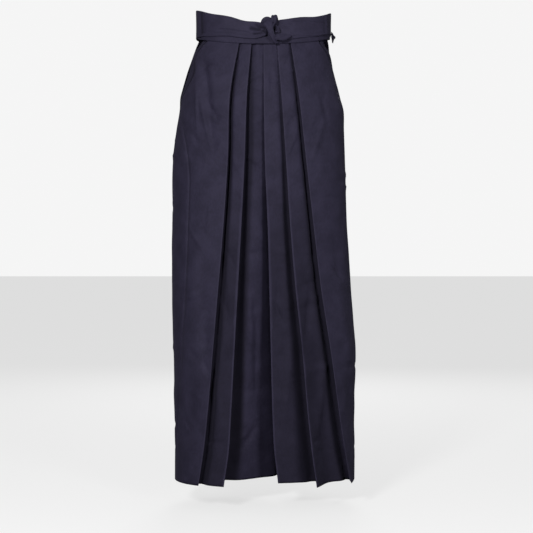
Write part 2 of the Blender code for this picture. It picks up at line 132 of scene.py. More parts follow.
class Curve:
    """The body curve at many heights at once. Angles are degrees from the front, + to the left."""

    def __init__(self, heights):
        self.height = np.asarray(heights, float).reshape(-1, 1)
        at = np.clip(self.height, HEM, WAIST_SEAM)
        left, right = column(BODY, "left", at), column(BODY, "right", at)
        self.centre, self.half = (left + right) / 2, (right - left) / 2
        self.ahead, self.behind = column(BODY, "front", at), column(BODY, "back", at)

    def angle(self, across):
        """The angle at which the front of the curve is this far across."""
        share = np.clip((across - self.centre) / self.half, -1, 1)
        return np.degrees(np.arcsin(np.sign(share) * np.abs(share) ** (ROUNDNESS / 2)))

    def place(self, angle):
        """(x, y) on the curve, before the waist's rise."""
        s, c = np.sin(np.radians(angle)), np.cos(np.radians(angle))
        reach = np.where(c >= 0, self.ahead, self.behind)
        x = self.centre + self.half * np.sign(s) * np.abs(s) ** (2 / ROUNDNESS)
        return x, -reach * np.sign(c) * np.abs(c) ** (2 / ROUNDNESS)

    def flat(self, angle, outward=0.0):
        """(x, y) moved straight out from the curve."""
        x, y = self.place(angle)
        x1, y1 = self.place(angle + 0.5)
        x0, y0 = self.place(angle - 0.5)
        size = np.hypot(x1 - x0, y1 - y0)
        return x + (y1 - y0) / size * outward, y - (x1 - x0) / size * outward

    def points(self, x, y, angle):
        z = self.height + rise(angle, self.height)
        return np.stack(np.broadcast_arrays(x, y, z), axis=-1)

    def round(self, angle, shift=0.0):
        """Points on the curve itself."""
        x, y = self.flat(angle)
        return self.points(x, y + shift, angle)

    def front(self, across, depth):
        """Points at a depth behind the front of the curve."""
        angle = self.angle(across)
        return self.points(across, self.flat(angle)[1] + depth, angle)

    def back(self, across, depth):
        """Points at a depth in from the back of the curve."""
        angle = 180.0 - self.angle(across)
        return self.points(across, self.flat(angle)[1] - depth, angle)


PANEL_TOP = -0.0130
# Rows of points lie closer together at the hips, where the side openings curve.
HEIGHTS = np.concatenate([np.linspace(PANEL_TOP, -0.160, 42), np.linspace(-0.1655, HEM, 140)])
print("rows down a panel:", len(HEIGHTS))

# %% [markdown]
# ## Pleats
# A knife pleat is cloth folded under itself: a pressed edge that shows, a layer going back
# underneath, and a hidden turn. Each pleat has a line of places for its edge from waist to hem,
# and says how far it goes under and how deep its layers lie. Pressed flat at the waist, the
# layers part slowly on the way down, which makes the long shadows between them.

# %% Pleat tables, in millimetres
FOLD_HEIGHTS = (-0.020, -0.122, -0.265, -0.406, -0.550, -0.678, -0.828, -0.892, -0.970)
# across: the pressed edge at each of those heights. under: how far back the hidden turn lies, at
# the waist and at the hem. edge, turn: depths of the outer and inner faces at the pressed edge and
# at the hidden turn, first at the waist and then at the hem.
Pleat = namedtuple("Pleat", "across under edge turn")
PLEAT_A = Pleat(
    (-54, -72, -77, -86, -98, -109, -122, -129, -141),
    (-24, -25), (0, 1.3, 0, 3), (1.8, 3.1, 14, 20),
)
PLEAT_B = Pleat(
    (-27, -36, -41, -48, -56, -63, -71, -75, -86),
    (-24, -36), (2.6, 3.9, 10, 14), (4.4, 7.8, 39, 47),
)
PLEAT_C = Pleat(
    (-1, 0, 2, 8, 12, 15, 19, 22, 31),
    (10, 12), (5.2, 6.5, 61, 65), (6.5, 6.5, 124, 124),
)
PLEAT_D = Pleat(
    (28, 37, 47, 56, 68, 82, 95, 102, 113),
    (24, 30), (2.6, 3.9, -5, 0), (4.2, 5.5, 55, 63),
)
PLEAT_E = Pleat(
    (58, 74, 90, 106, 123, 143, 164, 174, 190),
    (24, 1), (0, 1.3, -22, -19.5), (1.8, 3.1, 21, 25),
)
BACK_PLEAT = Pleat(
    (-9, -11, -15, -21, -27, -33, -41, -44, -49),
    (-28, -42), (0, 1.3, 0, 4), (1.8, 3.1, 14, 20),
)
print("pressed edges at the hem:", [p.across[-1] for p in (PLEAT_A, PLEAT_B, PLEAT_C, PLEAT_D, PLEAT_E)])

# %% Lines of cloth between the pleats, in millimetres
# Each says where a line of cloth lies at the waist, the crotch and the hem.
Line = namedtuple("Line", "across depth")
CENTRE_PANEL = (
    Line((-27, -48, -87), (7.8, 32, 79)),
    Line((-14, -24, -42), (7.8, 36, 103)),
    Line((0, -2, -7), (7.8, 47, 130)),
    Line((12, 14, 24), (7.8, 74, 152)),
    Line((22, 21, 33), (7.8, 128, 190)),
)
LEFT_INSIDE = Line((23.6, 23.1, 37), (6.5, 126.7, 195))
D_STRIP_MIDDLE = Line((40, 84, 144), (2.6, 6, 43))
BACK_INSIDE = Line((-18, 2, -22), (2.6, 50, 24))
BACK_SEAM = Line((-0.2, 19.7, 3), (2.6, 86, 25))
LEFT_BACK_INSIDE = Line((18, 40, 66), (2.6, 50, 24))
LEFT_BACK_SEAM = Line((0.2, 21.3, 42), (2.6, 86, 25))
print("lines across the centre panel:", len(CENTRE_PANEL))

# %% [markdown]
# ## Laying out a panel
# A panel is one width of cloth followed from side seam to inner leg. It is laid out strip by
# strip, as (across, depth) places at every height at once: a flat run, a fold round its nose,
# the layer under it, the hidden turn, and so on. Modelling it as one grid keeps the cloth
# whole, as it is on the real trousers. Each column remembers its strip's name, so that a crease
# can be put on the right layer later.

# %% Straight and curved strips
OPENING_POWER = 1.3  # pleats stay shut near the waist and part faster below


def opened(height):
    """How far the pleats have parted: 0 at the waist seam, and 1 at the hem."""
    return np.clip((WAIST_SEAM - height) / LENGTH, 0, 1) ** OPENING_POWER


def line_place(line, height):
    """(across, depth) of a line of cloth at each height, in metres."""
    at = np.clip(height, HEM, WAIST_SEAM)
    heights = (WAIST_SEAM, CROTCH, HEM)
    return smooth(heights, line.across, at) / 1000, smooth(heights, line.depth, at) / 1000


def run(start, end, count):
    """A straight strip from one line to another, leaving out its far edge."""
    share = np.linspace(0, 1, count, endpoint=False)[None, :]
    return mix(start[0], end[0], share), mix(start[1], end[1], share)


def curved(lines, count):
    """A strip that bends smoothly through several lines, leaving out its far edge."""
    stack = np.stack([np.concatenate(np.broadcast_arrays(*line), axis=1) for line in lines], axis=1)
    slopes = np.gradient(stack, axis=1)
    at = np.linspace(0, len(lines) - 1, count, endpoint=False)
    left = np.minimum(at.astype(int), len(lines) - 2)
    t = (at - left)[None, :, None]
    a, b, m, n = stack[:, left], stack[:, left + 1], slopes[:, left], slopes[:, left + 1]
    place = (2 * t**3 - 3 * t**2 + 1) * a + (t**3 - 2 * t**2 + t) * m
    place = place + (3 * t**2 - 2 * t**3) * b + (t**3 - t**2) * n
    return place[..., 0], place[..., 1]


def backwards(places, last):
    """The same places in the other order, with the far edge put back and the near one left out."""
    x, depth = places
    x = np.hstack([last[0] + 0 * x[:, :1], x[:, ::-1]])
    depth = np.hstack([last[1] + 0 * depth[:, :1], depth[:, ::-1]])
    return x[:, :-1], depth[:, :-1]


print("opened half way down:", round(float(opened(WAIST_SEAM - LENGTH / 2)), 3))

# %% One fold
PRESS = 0.0008  # radius of a fold pressed with an iron


class Fold:
    """One pleat at every height: its pressed edge, and its hidden turn."""

    def __init__(self, pleat, height, facing):
        share = opened(height)
        at = np.clip(height, HEM, WAIST_SEAM)
        self.facing = facing
        self.across = smooth(FOLD_HEIGHTS, pleat.across, at) / 1000
        self.turn = self.across + mix(*pleat.under, share) / 1000
        self.outer, inner = [mix(pleat.edge[i], pleat.edge[i + 2], share) / 1000 for i in (0, 1)]
        self.press = np.minimum((inner - self.outer) / 2, PRESS)
        self.inner = self.outer + 2 * self.press
        self.turn_outer, self.turn_inner = [
            mix(pleat.turn[i], pleat.turn[i + 2], share) / 1000 for i in (0, 1)
        ]
        self.soft = (self.turn_inner - self.turn_outer) / 2

    def nose(self, count=8):
        """Round the pressed edge, from the outer layer to the inner one."""
        t = np.linspace(0, np.pi, count, endpoint=False)[None, :]
        x = self.across + self.facing * self.press * (np.sin(t) - 1)
        return x, self.outer + self.press * (1 - np.cos(t))

    def under(self, count=14):
        start = (self.across - self.facing * self.press, self.inner)
        return run(start, (self.turn + self.facing * self.soft, self.turn_outer), count)

    def hidden(self, count=8):
        t = np.linspace(0, np.pi, count, endpoint=False)[None, :]
        x = self.turn + self.facing * self.soft * (1 - np.sin(t))
        return x, self.turn_outer + self.soft * (1 - np.cos(t))

    def shown(self):
        """Where the strip in front of the pressed edge starts."""
        return self.across - self.facing * self.press, self.outer

    def tucked(self):
        """Where the strip behind the hidden turn starts."""
        return self.turn + self.facing * self.soft, self.turn_inner


print("radius of a pressed fold:", PRESS * 1000, "mm")

# %% A panel of strips
class Panel:
    """Strips of points side by side, with each column's strip and place along the cloth."""

    def __init__(self, heights):
        self.curve = Curve(heights)
        self.blocks, self.strips = [], []

    def add(self, strip, points):
        self.blocks.append(points)
        self.strips += [strip] * points.shape[1]

    def done(self):
        """Join the strips, and measure how far each point lies along the cloth."""
        self.points = np.concatenate(self.blocks, axis=1)
        self.strip = np.array(self.strips)
        ahead = np.linalg.norm(np.diff(self.points, axis=1), axis=2)
        self.along = np.hstack([np.zeros((len(ahead), 1)), np.cumsum(ahead, axis=1)])
        return self


PANELS = {}


def keep_panel(name, panel):
    """Keep a finished panel under its name, and print its size."""
    PANELS[name] = panel
    lengths = panel.along[:, -1]
    print(name, panel.points.shape[:2], "cloth width", lengths.min().round(3), lengths.max().round(3))

# %% [markdown]
# ## Side edges
# At the hips a hakama is open at the sides. The front panel's edge slants in towards the waist,
# the back panel's edge stands behind it, and a leaf-shaped fold of cloth shows between them.
# Below the vent the two panels are sewn together. Degrees round the body suit these edges
# better than distances across it, because they turn the corner of the hip.

# %% Side edges, in degrees round from the centre front
Side = namedtuple("Side", "height right left")
FRONT_EDGES = (
    Side(-0.010, 49, 50),
    Side(-0.030, 57, 55),
    Side(-0.050, 63, 65.5),
    Side(-0.085, 56.5, 80),
    Side(-0.115, 64, 87),
    Side(VENT_END, 78, 94),
    Side(-0.200, 62, 95),
    Side(-0.265, 51, 95),
    Side(-0.406, 50, 95),
    Side(-0.550, 53, 95),
    Side(-0.678, 60, 95),
    Side(-0.828, 70, 95),
    Side(HEM, 84, 95),
)
VENT_WIDTHS = (
    Side(-0.010, 53, 54),
    Side(-0.050, 36, 35.5),
    Side(-0.085, 38.5, 19),
    Side(-0.115, 26, 9),
    Side(VENT_END, 0, 0),
)
SIDE_SEAM = 0.10  # degrees between the two panels where they are sewn
HANDS = {-1: "right", 1: "left"}


def front_edge(height, hand):
    return column(FRONT_EDGES, HANDS[hand], height)


def back_edge(height, hand):
    width = np.maximum(column(VENT_WIDTHS, HANDS[hand], height), 0.0)
    return front_edge(height, hand) + np.where(height > VENT_END, width, 0.0) + SIDE_SEAM


print("vent at the left, top to foot, degrees:", [row.left for row in VENT_WIDTHS])

# %% [markdown]
# ## Front panels
# The right leg's front is laid out from its side seam inwards: a flat outer face, pleats A and
# B, and the centre panel that runs on to the inner leg. The left leg's front is laid out from
# the inner leg outwards, because pleats C, D and E face the other way. The edge of pleat C lies
# at the middle and covers the place where the two legs meet.

# %% Front right panel
def front_right():
    """Side seam, pleats A and B that face the centre, and the centre panel to the inner leg."""
    panel = Panel(HEIGHTS)
    curve, height = panel.curve, panel.curve.height
    a, b = Fold(PLEAT_A, height, 1), Fold(PLEAT_B, height, 1)
    share = np.linspace(0, 1, 62, endpoint=False)[None, :]
    panel.add("outer", curve.round(mix(-front_edge(height, -1), curve.angle(a.shown()[0]), share)))
    panel.add("fold A", curve.front(*a.nose()))
    panel.add("under A", curve.front(*a.under()))
    panel.add("turn A", curve.front(*a.hidden()))
    panel.add("strip AB", curve.front(*run(a.tucked(), b.shown(), 26)))
    panel.add("fold B", curve.front(*b.nose()))
    panel.add("under B", curve.front(*b.under()))
    panel.add("turn B", curve.front(*b.hidden()))
    lines = [b.tucked()] + [line_place(line, height) for line in CENTRE_PANEL[1:]]
    panel.add("centre", curve.front(*curved(lines, 58)))
    panel.add("centre", curve.front(*lines[-1]))
    return panel.done()


keep_panel("front_right", front_right())

# %% Front left panel
def front_left():
    """Inner leg, pleats C, D and E, which face the centre from the other side, and the side."""
    panel = Panel(HEIGHTS)
    curve, height = panel.curve, panel.curve.height
    c, d, e = [Fold(pleat, height, -1) for pleat in (PLEAT_C, PLEAT_D, PLEAT_E)]
    inside = line_place(LEFT_INSIDE, height)
    panel.add("inside", curve.front(*run(inside, (c.turn, c.turn_outer), 26)))
    back = (c.turn, c.turn_outer)
    edge = (c.across + c.press, c.inner)
    panel.add("under C", curve.front(*run(back, edge, 20)))
    panel.add("fold C", curve.front(*backwards(c.nose(), edge)))
    panel.add("strip CD", curve.front(*run(c.shown(), d.tucked(), 34)))
    for name, fold in (("D", d), ("E", e)):
        panel.add("turn " + name, curve.front(*backwards(fold.hidden(), fold.tucked())))
        end = (fold.across + fold.press, fold.inner)
        start = (fold.turn - fold.soft, fold.turn_outer)
        panel.add("under " + name, curve.front(*run(start, end, 14)))
        panel.add("fold " + name, curve.front(*backwards(fold.nose(), end)))
        if name == "D":
            lines = [fold.shown(), line_place(D_STRIP_MIDDLE, height), e.tucked()]
            panel.add("strip DE", curve.front(*curved(lines, 34)))
    share = np.linspace(0, 1, 56)[None, :]
    angle = mix(curve.angle(e.shown()[0]), front_edge(height, 1), share**1.3)
    panel.add("outer", curve.round(angle, np.minimum(e.outer, 0) * (1 - share) ** 2))
    return panel.done()


keep_panel("front_left", front_left())

# %% [markdown]
# ## Back panels
# Each back panel is one broad face with a single deep pleat near the centre back. One function
# lays out both legs, with hand -1 for the wearer's right and 1 for the left, and mirrors what
# differs only by its side.

# %% Back panels
def back_panel(hand):
    """The side, the long flat back, its one deep pleat, and on to the centre back."""
    panel = Panel(HEIGHTS[2:])
    curve, height = panel.curve, panel.curve.height
    fold = Fold(BACK_PLEAT, height, 1)
    inside = line_place(BACK_INSIDE if hand < 0 else LEFT_BACK_INSIDE, height)
    seam = line_place(BACK_SEAM if hand < 0 else LEFT_BACK_SEAM, height)

    def point(x, depth):
        return curve.back(x if hand < 0 else -x, depth)

    start = hand * (180 - np.abs(curve.angle(-hand * fold.shown()[0])))
    share = np.linspace(0, 1, 84, endpoint=False)[None, :]
    panel.add("outer", curve.round(mix(hand * back_edge(height, hand), start, share)))
    panel.add("fold", point(*fold.nose()))
    panel.add("under", point(*fold.under(18)))
    panel.add("turn", point(*fold.hidden()))
    tucked = fold.tucked()
    if hand > 0:
        inside, seam = (-inside[0], inside[1]), (-seam[0], seam[1])
    panel.add("inner", point(*curved([tucked, inside, seam], 50)))
    panel.add("inner", point(*seam))
    return panel.done()


keep_panel("back_right", back_panel(-1))
keep_panel("back_left", back_panel(1))

# %% [markdown]
# ## Creases, listed one by one
# Worn and pressed cloth is never quite flat. Soft troughs and ridges are laid on each strip
# with a small table: where the crease's middle is, how long and wide it is, how far it lifts
# the cloth, and how far it leans from upright. Every one is a smooth bump that fades at its
# ends. A cloth simulation could fold the cloth too, but it tends to blur edges that an iron has
# pressed, so these are placed.

# %% Creases of the front right panel, in millimetres and degrees
Crease = namedtuple("Crease", "across height length width lift lean")
CREASES = {}
CREASES["front_right"] = {
    "outer": (
        (-146, -150, 170, 3.0, 1.1, -2), (-126, -95, 150, 9.0, -2.4, -8),
        (-118, -175, 170, 10.0, -1.8, -6), (-126, -190, 190, 5.0, 1.2, -13),
        (-96, -172, 70, 3.0, 0.8, 80), (-104, -318, 60, 3.0, 0.8, 84),
        (-112, -378, 70, 3.0, 0.7, 88), (-150, -520, 240, 16.0, 1.2, 3),
        (-128, -640, 300, 14.0, -1.4, -3), (-160, -800, 260, 16.0, -1.2, 4),
        (-84, -262, 26, 3.0, -0.9, 55),
    ),
    "strip AB": (
        (-58, -285, 70, 3.5, 1.1, -28), (-56, -172, 40, 3.0, 0.7, 82),
        (-66, -318, 40, 3.0, 0.9, 86), (-72, -466, 40, 3.5, -0.8, 84),
        (-84, -560, 220, 7.0, -1.0, -4), (-100, -760, 240, 8.0, 1.4, -6),
    ),
    "centre": (
        (-14, -30, 70, 8.0, 1.5, 0), (-14, -184, 60, 3.0, 1.3, 72),
        (-18, -204, 56, 3.5, -1.6, 70), (-12, -226, 48, 3.0, 1.0, 78),
        (-22, -268, 60, 4.0, 1.5, -62), (-14, -290, 56, 4.0, -1.6, -56),
        (-24, -316, 56, 3.0, 1.0, -60), (-20, -470, 60, 4.0, -0.9, 80),
        (-30, -620, 260, 9.0, 1.8, -5), (-16, -720, 300, 8.0, -1.8, -3),
    ),
}
print("strips with creases:", list(CREASES["front_right"]))

# %% Creases of the front left panel
CREASES["front_left"] = {
    "outer": (
        (116, -230, 150, 5.0, 1.0, 18), (132, -160, 110, 6.0, -1.1, -14),
        (146, -262, 60, 4.0, 0.5, 80), (130, -470, 80, 3.5, -0.8, 86),
        (160, -480, 240, 13.0, -1.3, -6), (176, -640, 280, 10.0, 1.2, -7),
        (190, -800, 220, 9.0, -1.2, -5),
    ),
    "strip CD": (
        (14, -28, 60, 8.0, 0.9, 0), (24, -174, 46, 3.0, 0.7, 84),
        (26, -318, 46, 3.0, -0.8, 86), (34, -468, 52, 3.5, 1.1, 85),
        (30, -560, 200, 7.0, -1.2, 4), (50, -760, 240, 10.0, 1.8, 4),
    ),
    "strip DE": (
        (64, -228, 84, 4.0, 1.4, 21), (58, -206, 70, 4.0, -1.2, 24),
        (60, -318, 40, 3.0, 0.7, 84), (84, -468, 48, 3.5, 0.9, 86),
        (96, -600, 240, 8.0, -1.4, 6), (122, -790, 240, 10.0, 1.8, 8),
    ),
}
print("strips with creases:", list(CREASES["front_left"]))

# %% Creases of the back panels
CREASES["back_right"] = {
    "outer": (
        (-96, -150, 150, 8.0, -1.8, 12), (-60, -260, 170, 7.0, 1.2, -8),
        (-128, -330, 220, 12.0, 1.3, 4), (-84, -520, 260, 13.0, -1.5, 3),
        (-52, -470, 60, 3.5, 0.8, 84), (-140, -700, 280, 15.0, -1.4, -4),
        (-100, -820, 260, 12.0, 1.5, 5),
    ),
    "inner": (
        (-6, -300, 180, 7.0, 1.2, -4),
    ),
}
CREASES["back_left"] = {
    "outer": (
        (88, -160, 140, 8.0, -1.6, -10), (56, -280, 190, 8.0, 1.2, 7),
        (124, -350, 220, 12.0, 1.2, -5), (92, -560, 280, 13.0, -1.4, -4),
        (60, -466, 64, 3.5, 0.8, 86), (146, -690, 260, 14.0, -1.3, 5),
        (108, -840, 240, 12.0, 1.5, -6),
    ),
    "inner": (
        (14, -320, 180, 7.0, 1.2, 5),
    ),
}
print("strips with creases:", list(CREASES["back_right"]))

# %% The shape of one crease
CREASE_STRENGTH = 2.7  # the tables were drawn shallow, and this deepens them all


def crease_lift(crease, points):
    """How far one crease lifts each point."""
    dx = points[..., 0] - crease.across / 1000
    dz = points[..., 2] - crease.height / 1000
    lean = np.radians(crease.lean)
    along = dx * np.sin(lean) + dz * np.cos(lean)
    off = (dx * np.cos(lean) - dz * np.sin(lean)) / (crease.width / 1000)
    fade = np.cos(np.pi / 2 * np.clip(np.abs(along) / (crease.length / 2000), 0, 1)) ** 2
    return CREASE_STRENGTH * crease.lift / 1000 * np.exp(-off * off) * fade


lifts = [Crease(*row).lift for panel in CREASES.values() for rows in panel.values() for row in rows]
print("deepest and highest, mm:", CREASE_STRENGTH * min(lifts), CREASE_STRENGTH * max(lifts))

# %% [markdown]
# ## Slots beside the pressed edges
# A strip that comes out from under a pressed edge dips away behind it first, and little light
# reaches the dip, which is also painted dark by its depth. Where two dips share an edge, one is
# broad and the other narrow: the narrow one draws the crisp dark line near the waist, where the
# pleat is still shut.

# %% Slots, in millimetres
# depth is given at each of the fold heights. inset is how far past the edge the slot is deepest.
Slot = namedtuple("Slot", "strip pleat facing depth width inset")
SLOT_HIDDEN = 9.0  # it runs out this far under the pressed edge
SLOTS = {
    "front_right": (
        Slot("strip AB", PLEAT_A, 1, (1.5, 6.0, 8.0, 9.0, 10, 12, 12, 11, 8.0), 5.4, 2.6),
        Slot("strip AB", PLEAT_A, 1, (2.0, 5.0, 6.0, 6.0, 3.0, 0.5, 0.0, 0.0, 0.0), 2.4, 1.8),
        Slot("centre", PLEAT_B, 1, (1.2, 6.0, 12, 15, 17, 17, 16, 14, 12), 9.0, 3.4),
        Slot("centre", PLEAT_B, 1, (2.0, 4.0, 4.0, 3.0, 1.0, 0.0, 0.0, 0.0, 0.0), 2.4, 1.8),
    ),
    "front_left": (
        Slot("strip CD", PLEAT_D, -1, (0.8, 3.0, 5.0, 8.0, 10, 10, 9.0, 8.0, 6.0), 6.0, 2.4),
        Slot("strip DE", PLEAT_E, -1, (1.2, 5.0, 7.0, 8.0, 10, 11, 11, 9.0, 7.0), 6.0, 2.4),
        Slot("strip DE", PLEAT_E, -1, (2.0, 5.0, 5.0, 4.0, 2.0, 0.5, 0.0, 0.0, 0.0), 2.4, 1.8),
    ),
    "back_right": (Slot("inner", BACK_PLEAT, 1, (0.6, 2, 3, 5, 6, 6, 6, 5, 4), 6.0, 2.2),),
    "back_left": (),
}


def slot_lift(slot, points, z):
    """The dip beside one pressed edge, which is deepest just past it and fades in the open."""
    at = np.clip(z, HEM, WAIST_SEAM)
    edge = smooth(FOLD_HEIGHTS, slot.pleat.across, at) / 1000
    depth = np.maximum(smooth(FOLD_HEIGHTS, slot.depth, at), 0) / 1000
    off = slot.facing * (points[..., 0] - edge) * 1000 - slot.inset
    width = slot.width * (1 + 1.1 * opened(z))
    shown = np.exp(-((np.maximum(off, 0) / width) ** 2))
    hidden = np.exp(-((np.minimum(off, 0) / SLOT_HIDDEN) ** 2))
    return -depth * shown * hidden


print("slots:", sum(len(slots) for slots in SLOTS.values()))

# %% [markdown]
# ## Wrinkles, swells, hem and seams
# Long wear leaves small wrinkles with no order in them, hanging cloth swells faintly, stitches
# pucker the hem, and a side seam sinks a little. There are far too many wrinkles to place by
# hand, so a seeded generator draws them, the same on every run. Cloth inside the pleats is
# also painted darker as shade, and each point's painted shade is worked out here beside its
# lift.

# %% Wrinkles and swells
WRINKLE_LEANS = (78.0, -80.0, 30.0, -35.0, 8.0)  # degrees from upright
SWELL = 0.0052  # lift for each metre from one swell to the next


def wrinkles(points, seed, count=110):
    """Small scattered wrinkles, mostly level or leaning, that long wear leaves in cloth."""
    rng = np.random.default_rng(seed)
    low, high = points.reshape(-1, 3).min(axis=0), points.reshape(-1, 3).max(axis=0)
    lift = np.zeros(points.shape[:2])
    for _ in range(count):
        across, height = rng.uniform(low[0], high[0]), rng.uniform(low[2], high[2])
        length, width = rng.uniform(35, 110), rng.uniform(2.5, 7.0)
        lean = rng.choice(WRINKLE_LEANS) + rng.normal(0, 9)
        wrinkle = Crease(across * 1000, height * 1000, length, width, rng.normal(0, 0.62), lean)
        lift += crease_lift(wrinkle, points)
    return lift


def swell(points, seed):
    """Long faint swells of hanging cloth, different on each strip."""
    rng = np.random.default_rng(seed)
    total = 0.0
    for size in (0.31, 0.19, 0.11, 0.07):  # metres from one swell to the next
        lean, phase = rng.uniform(-0.5, 0.5), rng.uniform(0, 2 * np.pi)
        wave = (points[..., 2] + lean * points[..., 0]) / size
        side = points[..., 0] / (0.35 * size) + rng.uniform(0, 6)
        total = total + size * np.sin(2 * np.pi * wave + phase) * np.sin(side)
    return SWELL * total


print("wrinkles lean by:", WRINKLE_LEANS)

# %% Shade, hem and side seams
HEM_DEPTH = 0.070  # the hem is turned up this far inside and sewn
HEM_LINE = HEM + HEM_DEPTH
SEAM_DIP = 0.0016  # cloth sinks this much into the side seam
# A slot's depth sets how dark its painted shade is.
DARK_AT = 0.005  # a slot this deep is as dark as it gets


def painted_pleat_shade(panel, z):
    """How much painted shade darkens the cloth inside the pleats and on the upper centre panel."""
    strips = 0.62 * np.char.startswith(panel.strip, "strip") * step(-0.22, -0.48, z)
    centre = 0.32 * (panel.strip == "centre") * step(-0.08, -0.15, z) * step(-0.33, -0.25, z)
    return strips + centre


def hem_pucker(panel, z):
    """The hem's stitches pull the cloth in along their line, a little unevenly."""
    pull = np.exp(-(((z - HEM_LINE) / 0.0035) ** 2))
    gather = 0.5 + 0.5 * np.sin(panel.along / 0.011 + 1.7 * np.sin(panel.along / 0.037))
    return pull * (0.0004 + 0.0007 * gather)


def seam_dip(name, panel, z):
    """How far the cloth sinks into its side seam, from just below the vent to the hem."""
    to_edge = panel.along
    if name == "front_left":  # laid out from the inner leg, so its side seam comes last
        to_edge = np.minimum(to_edge, to_edge[:, -1:] - to_edge)
    return SEAM_DIP * np.exp(-((to_edge / 0.0032) ** 2)) * step(VENT_END, VENT_END - 0.05, z)


print("hem stitches at height:", round(HEM_LINE, 3))

# %% Relief of the four panels
LOOSE = ("outer", "strip", "centre", "inner", "inside")  # strips that hang free of a fold
PUCKERED = {
    "front_right": ("centre", "strip AB", "outer"),
    "front_left": ("strip CD", "strip DE", "outer"),
    "back_right": ("outer", "inner"),
    "back_left": ("outer", "inner"),
}
OUTSIDE = {"front_right": -1, "front_left": -1, "back_right": 1, "back_left": -1}  # side of the grid


def outward(points):
    """The direction that each point of a grid faces."""
    across, down = np.gradient(points, axis=1), np.gradient(points, axis=0)
    facing = np.cross(across, down)
    return facing / np.maximum(np.linalg.norm(facing, axis=2, keepdims=True), 1e-12)


def relief(name, panel):
    """The lift of a whole panel. It also leaves the painted shade of each point on the panel."""
    points, z = panel.points, panel.curve.height
    lift = np.zeros(points.shape[:2])
    for slot in SLOTS[name]:
        lift += slot_lift(slot, points, z) * (panel.strip == slot.strip)
    # Painted shade: each point darkens with the depth of its slot, and inside the pleats.
    panel.shade = np.maximum(lift / DARK_AT - painted_pleat_shade(panel, z), -1.0)
    for strip, rows in CREASES[name].items():
        for row in rows:
            lift += crease_lift(Crease(*row), points) * (panel.strip == strip)
    fine = wrinkles(points, 7 + 5 * list(PANELS).index(name))
    for number, strip in enumerate(dict.fromkeys(panel.strips)):
        here = panel.strip == strip
        if strip.startswith(LOOSE):
            span = panel.along[:, here]
            share = (panel.along - span[:, :1]) / np.maximum(np.ptp(span, axis=1)[:, None], 1e-6)
            inside = share * (1 - share)  # a strip is held still at both its edges
            calm = np.clip(4 * inside, 0, 1) * (0.25 + 0.75 * opened(z))
            lift += here * calm * swell(points, 31 * len(name) + number)
            lift += here * np.clip(6 * inside, 0, 1) * fine
        if strip in PUCKERED[name]:
            lift -= here * hem_pucker(panel, z)
    return lift - seam_dip(name, panel, z)


for name, panel in PANELS.items():
    lift = relief(name, panel)
    panel.points = panel.points + OUTSIDE[name] * outward(panel.points) * lift[..., None]
    print(name, "lifts", (lift.min() * 1000).round(2), "to", (lift.max() * 1000).round(2), "mm")

# %% [markdown]
# ## From points to cloth
# A grid of points becomes a mesh, and a Solidify modifier gives it the thickness of cloth. Each
# corner also gets a flat place in metres, as if the piece were laid out on the cutting table,
# so that weave and stitching keep their true size and follow the thread. One more number at
# each point, called pressed, carries painted light: it goes up to 1 on a pressed edge, where a
# highlight is painted and the cloth is a little shinier, and down to -1 in a slot, where shade
# is painted.

# %% Mesh helpers
FLAT_MAP = "cutting_table"


def add_mesh(name, points, flat, around=False, caps=False, pressed=None, wall=None):
    """A smooth mesh through a grid. around closes each row into a ring; caps close a tube's ends."""
    rows, columns = points.shape[:2]
    i, j = np.meshgrid(np.arange(rows - 1), np.arange(columns - (not around)), indexing="ij")
    ahead = (j + 1) % columns
    row, below = i * columns, (i + 1) * columns
    faces = np.stack([row + j, row + ahead, below + ahead, below + j], axis=-1).reshape(-1, 4).tolist()
    if caps:
        faces += [list(range(columns))[::-1], list(range((rows - 1) * columns, rows * columns))]
    mesh = bpy.data.meshes.new(name)
    mesh.from_pydata(points.reshape(-1, 3).tolist(), [], faces)
    layer = mesh.uv_layers.new(name=FLAT_MAP)
    places = np.stack([flat[i, j], flat[i, j + 1], flat[i + 1, j + 1], flat[i + 1, j]], axis=2)
    places = places.reshape(-1, 2)
    if caps:
        places = np.vstack([places, flat[0, :columns][::-1], flat[-1, :columns]])
    layer.uv.foreach_set("vector", places.astype(np.float32).ravel())
    painted_light = mesh.attributes.new("pressed", "FLOAT", "POINT")
    values = np.zeros(rows * columns) if pressed is None else pressed.ravel()
    painted_light.data.foreach_set("value", values.astype(np.float32))
    mesh.polygons.foreach_set("use_smooth", [True] * len(mesh.polygons))
    if caps:  # a closed tube's faces have to look outwards
        solid = bmesh.new()
        solid.from_mesh(mesh)
        bmesh.ops.recalc_face_normals(solid, faces=solid.faces)
        solid.to_mesh(mesh)
        solid.free()
    piece = bpy.data.objects.new(name, mesh)
    bpy.context.scene.collection.objects.link(piece)
    if wall:
        cloth = piece.modifiers.new("cloth", "SOLIDIFY")
        cloth.thickness, cloth.offset, cloth.use_even_offset = wall, 0.0, False
    return piece


def flat_places(points, around=False):
    """Each point's place on the cutting table: across the cloth, and up it."""
    loop = np.concatenate([points, points[:, :1]], axis=1) if around else points
    across = np.linalg.norm(np.diff(loop, axis=1), axis=2)
    across = np.hstack([np.zeros((len(loop), 1)), np.cumsum(across, axis=1)])
    down = np.linalg.norm(np.diff(loop.mean(axis=1), axis=0), axis=1)
    down = np.concatenate([[0.0], np.cumsum(down)])[:, None] + 0 * across
    return np.stack([across, down], axis=-1)


PIECES = {}
print("flat places are kept in the map:", FLAT_MAP)

# %% [markdown]
# ## The leg panels as cloth
# The four panels carry painted light. Each column near the middle of a fold's nose gets the
# pressed edge's painted highlight, and every other point keeps its painted shade.

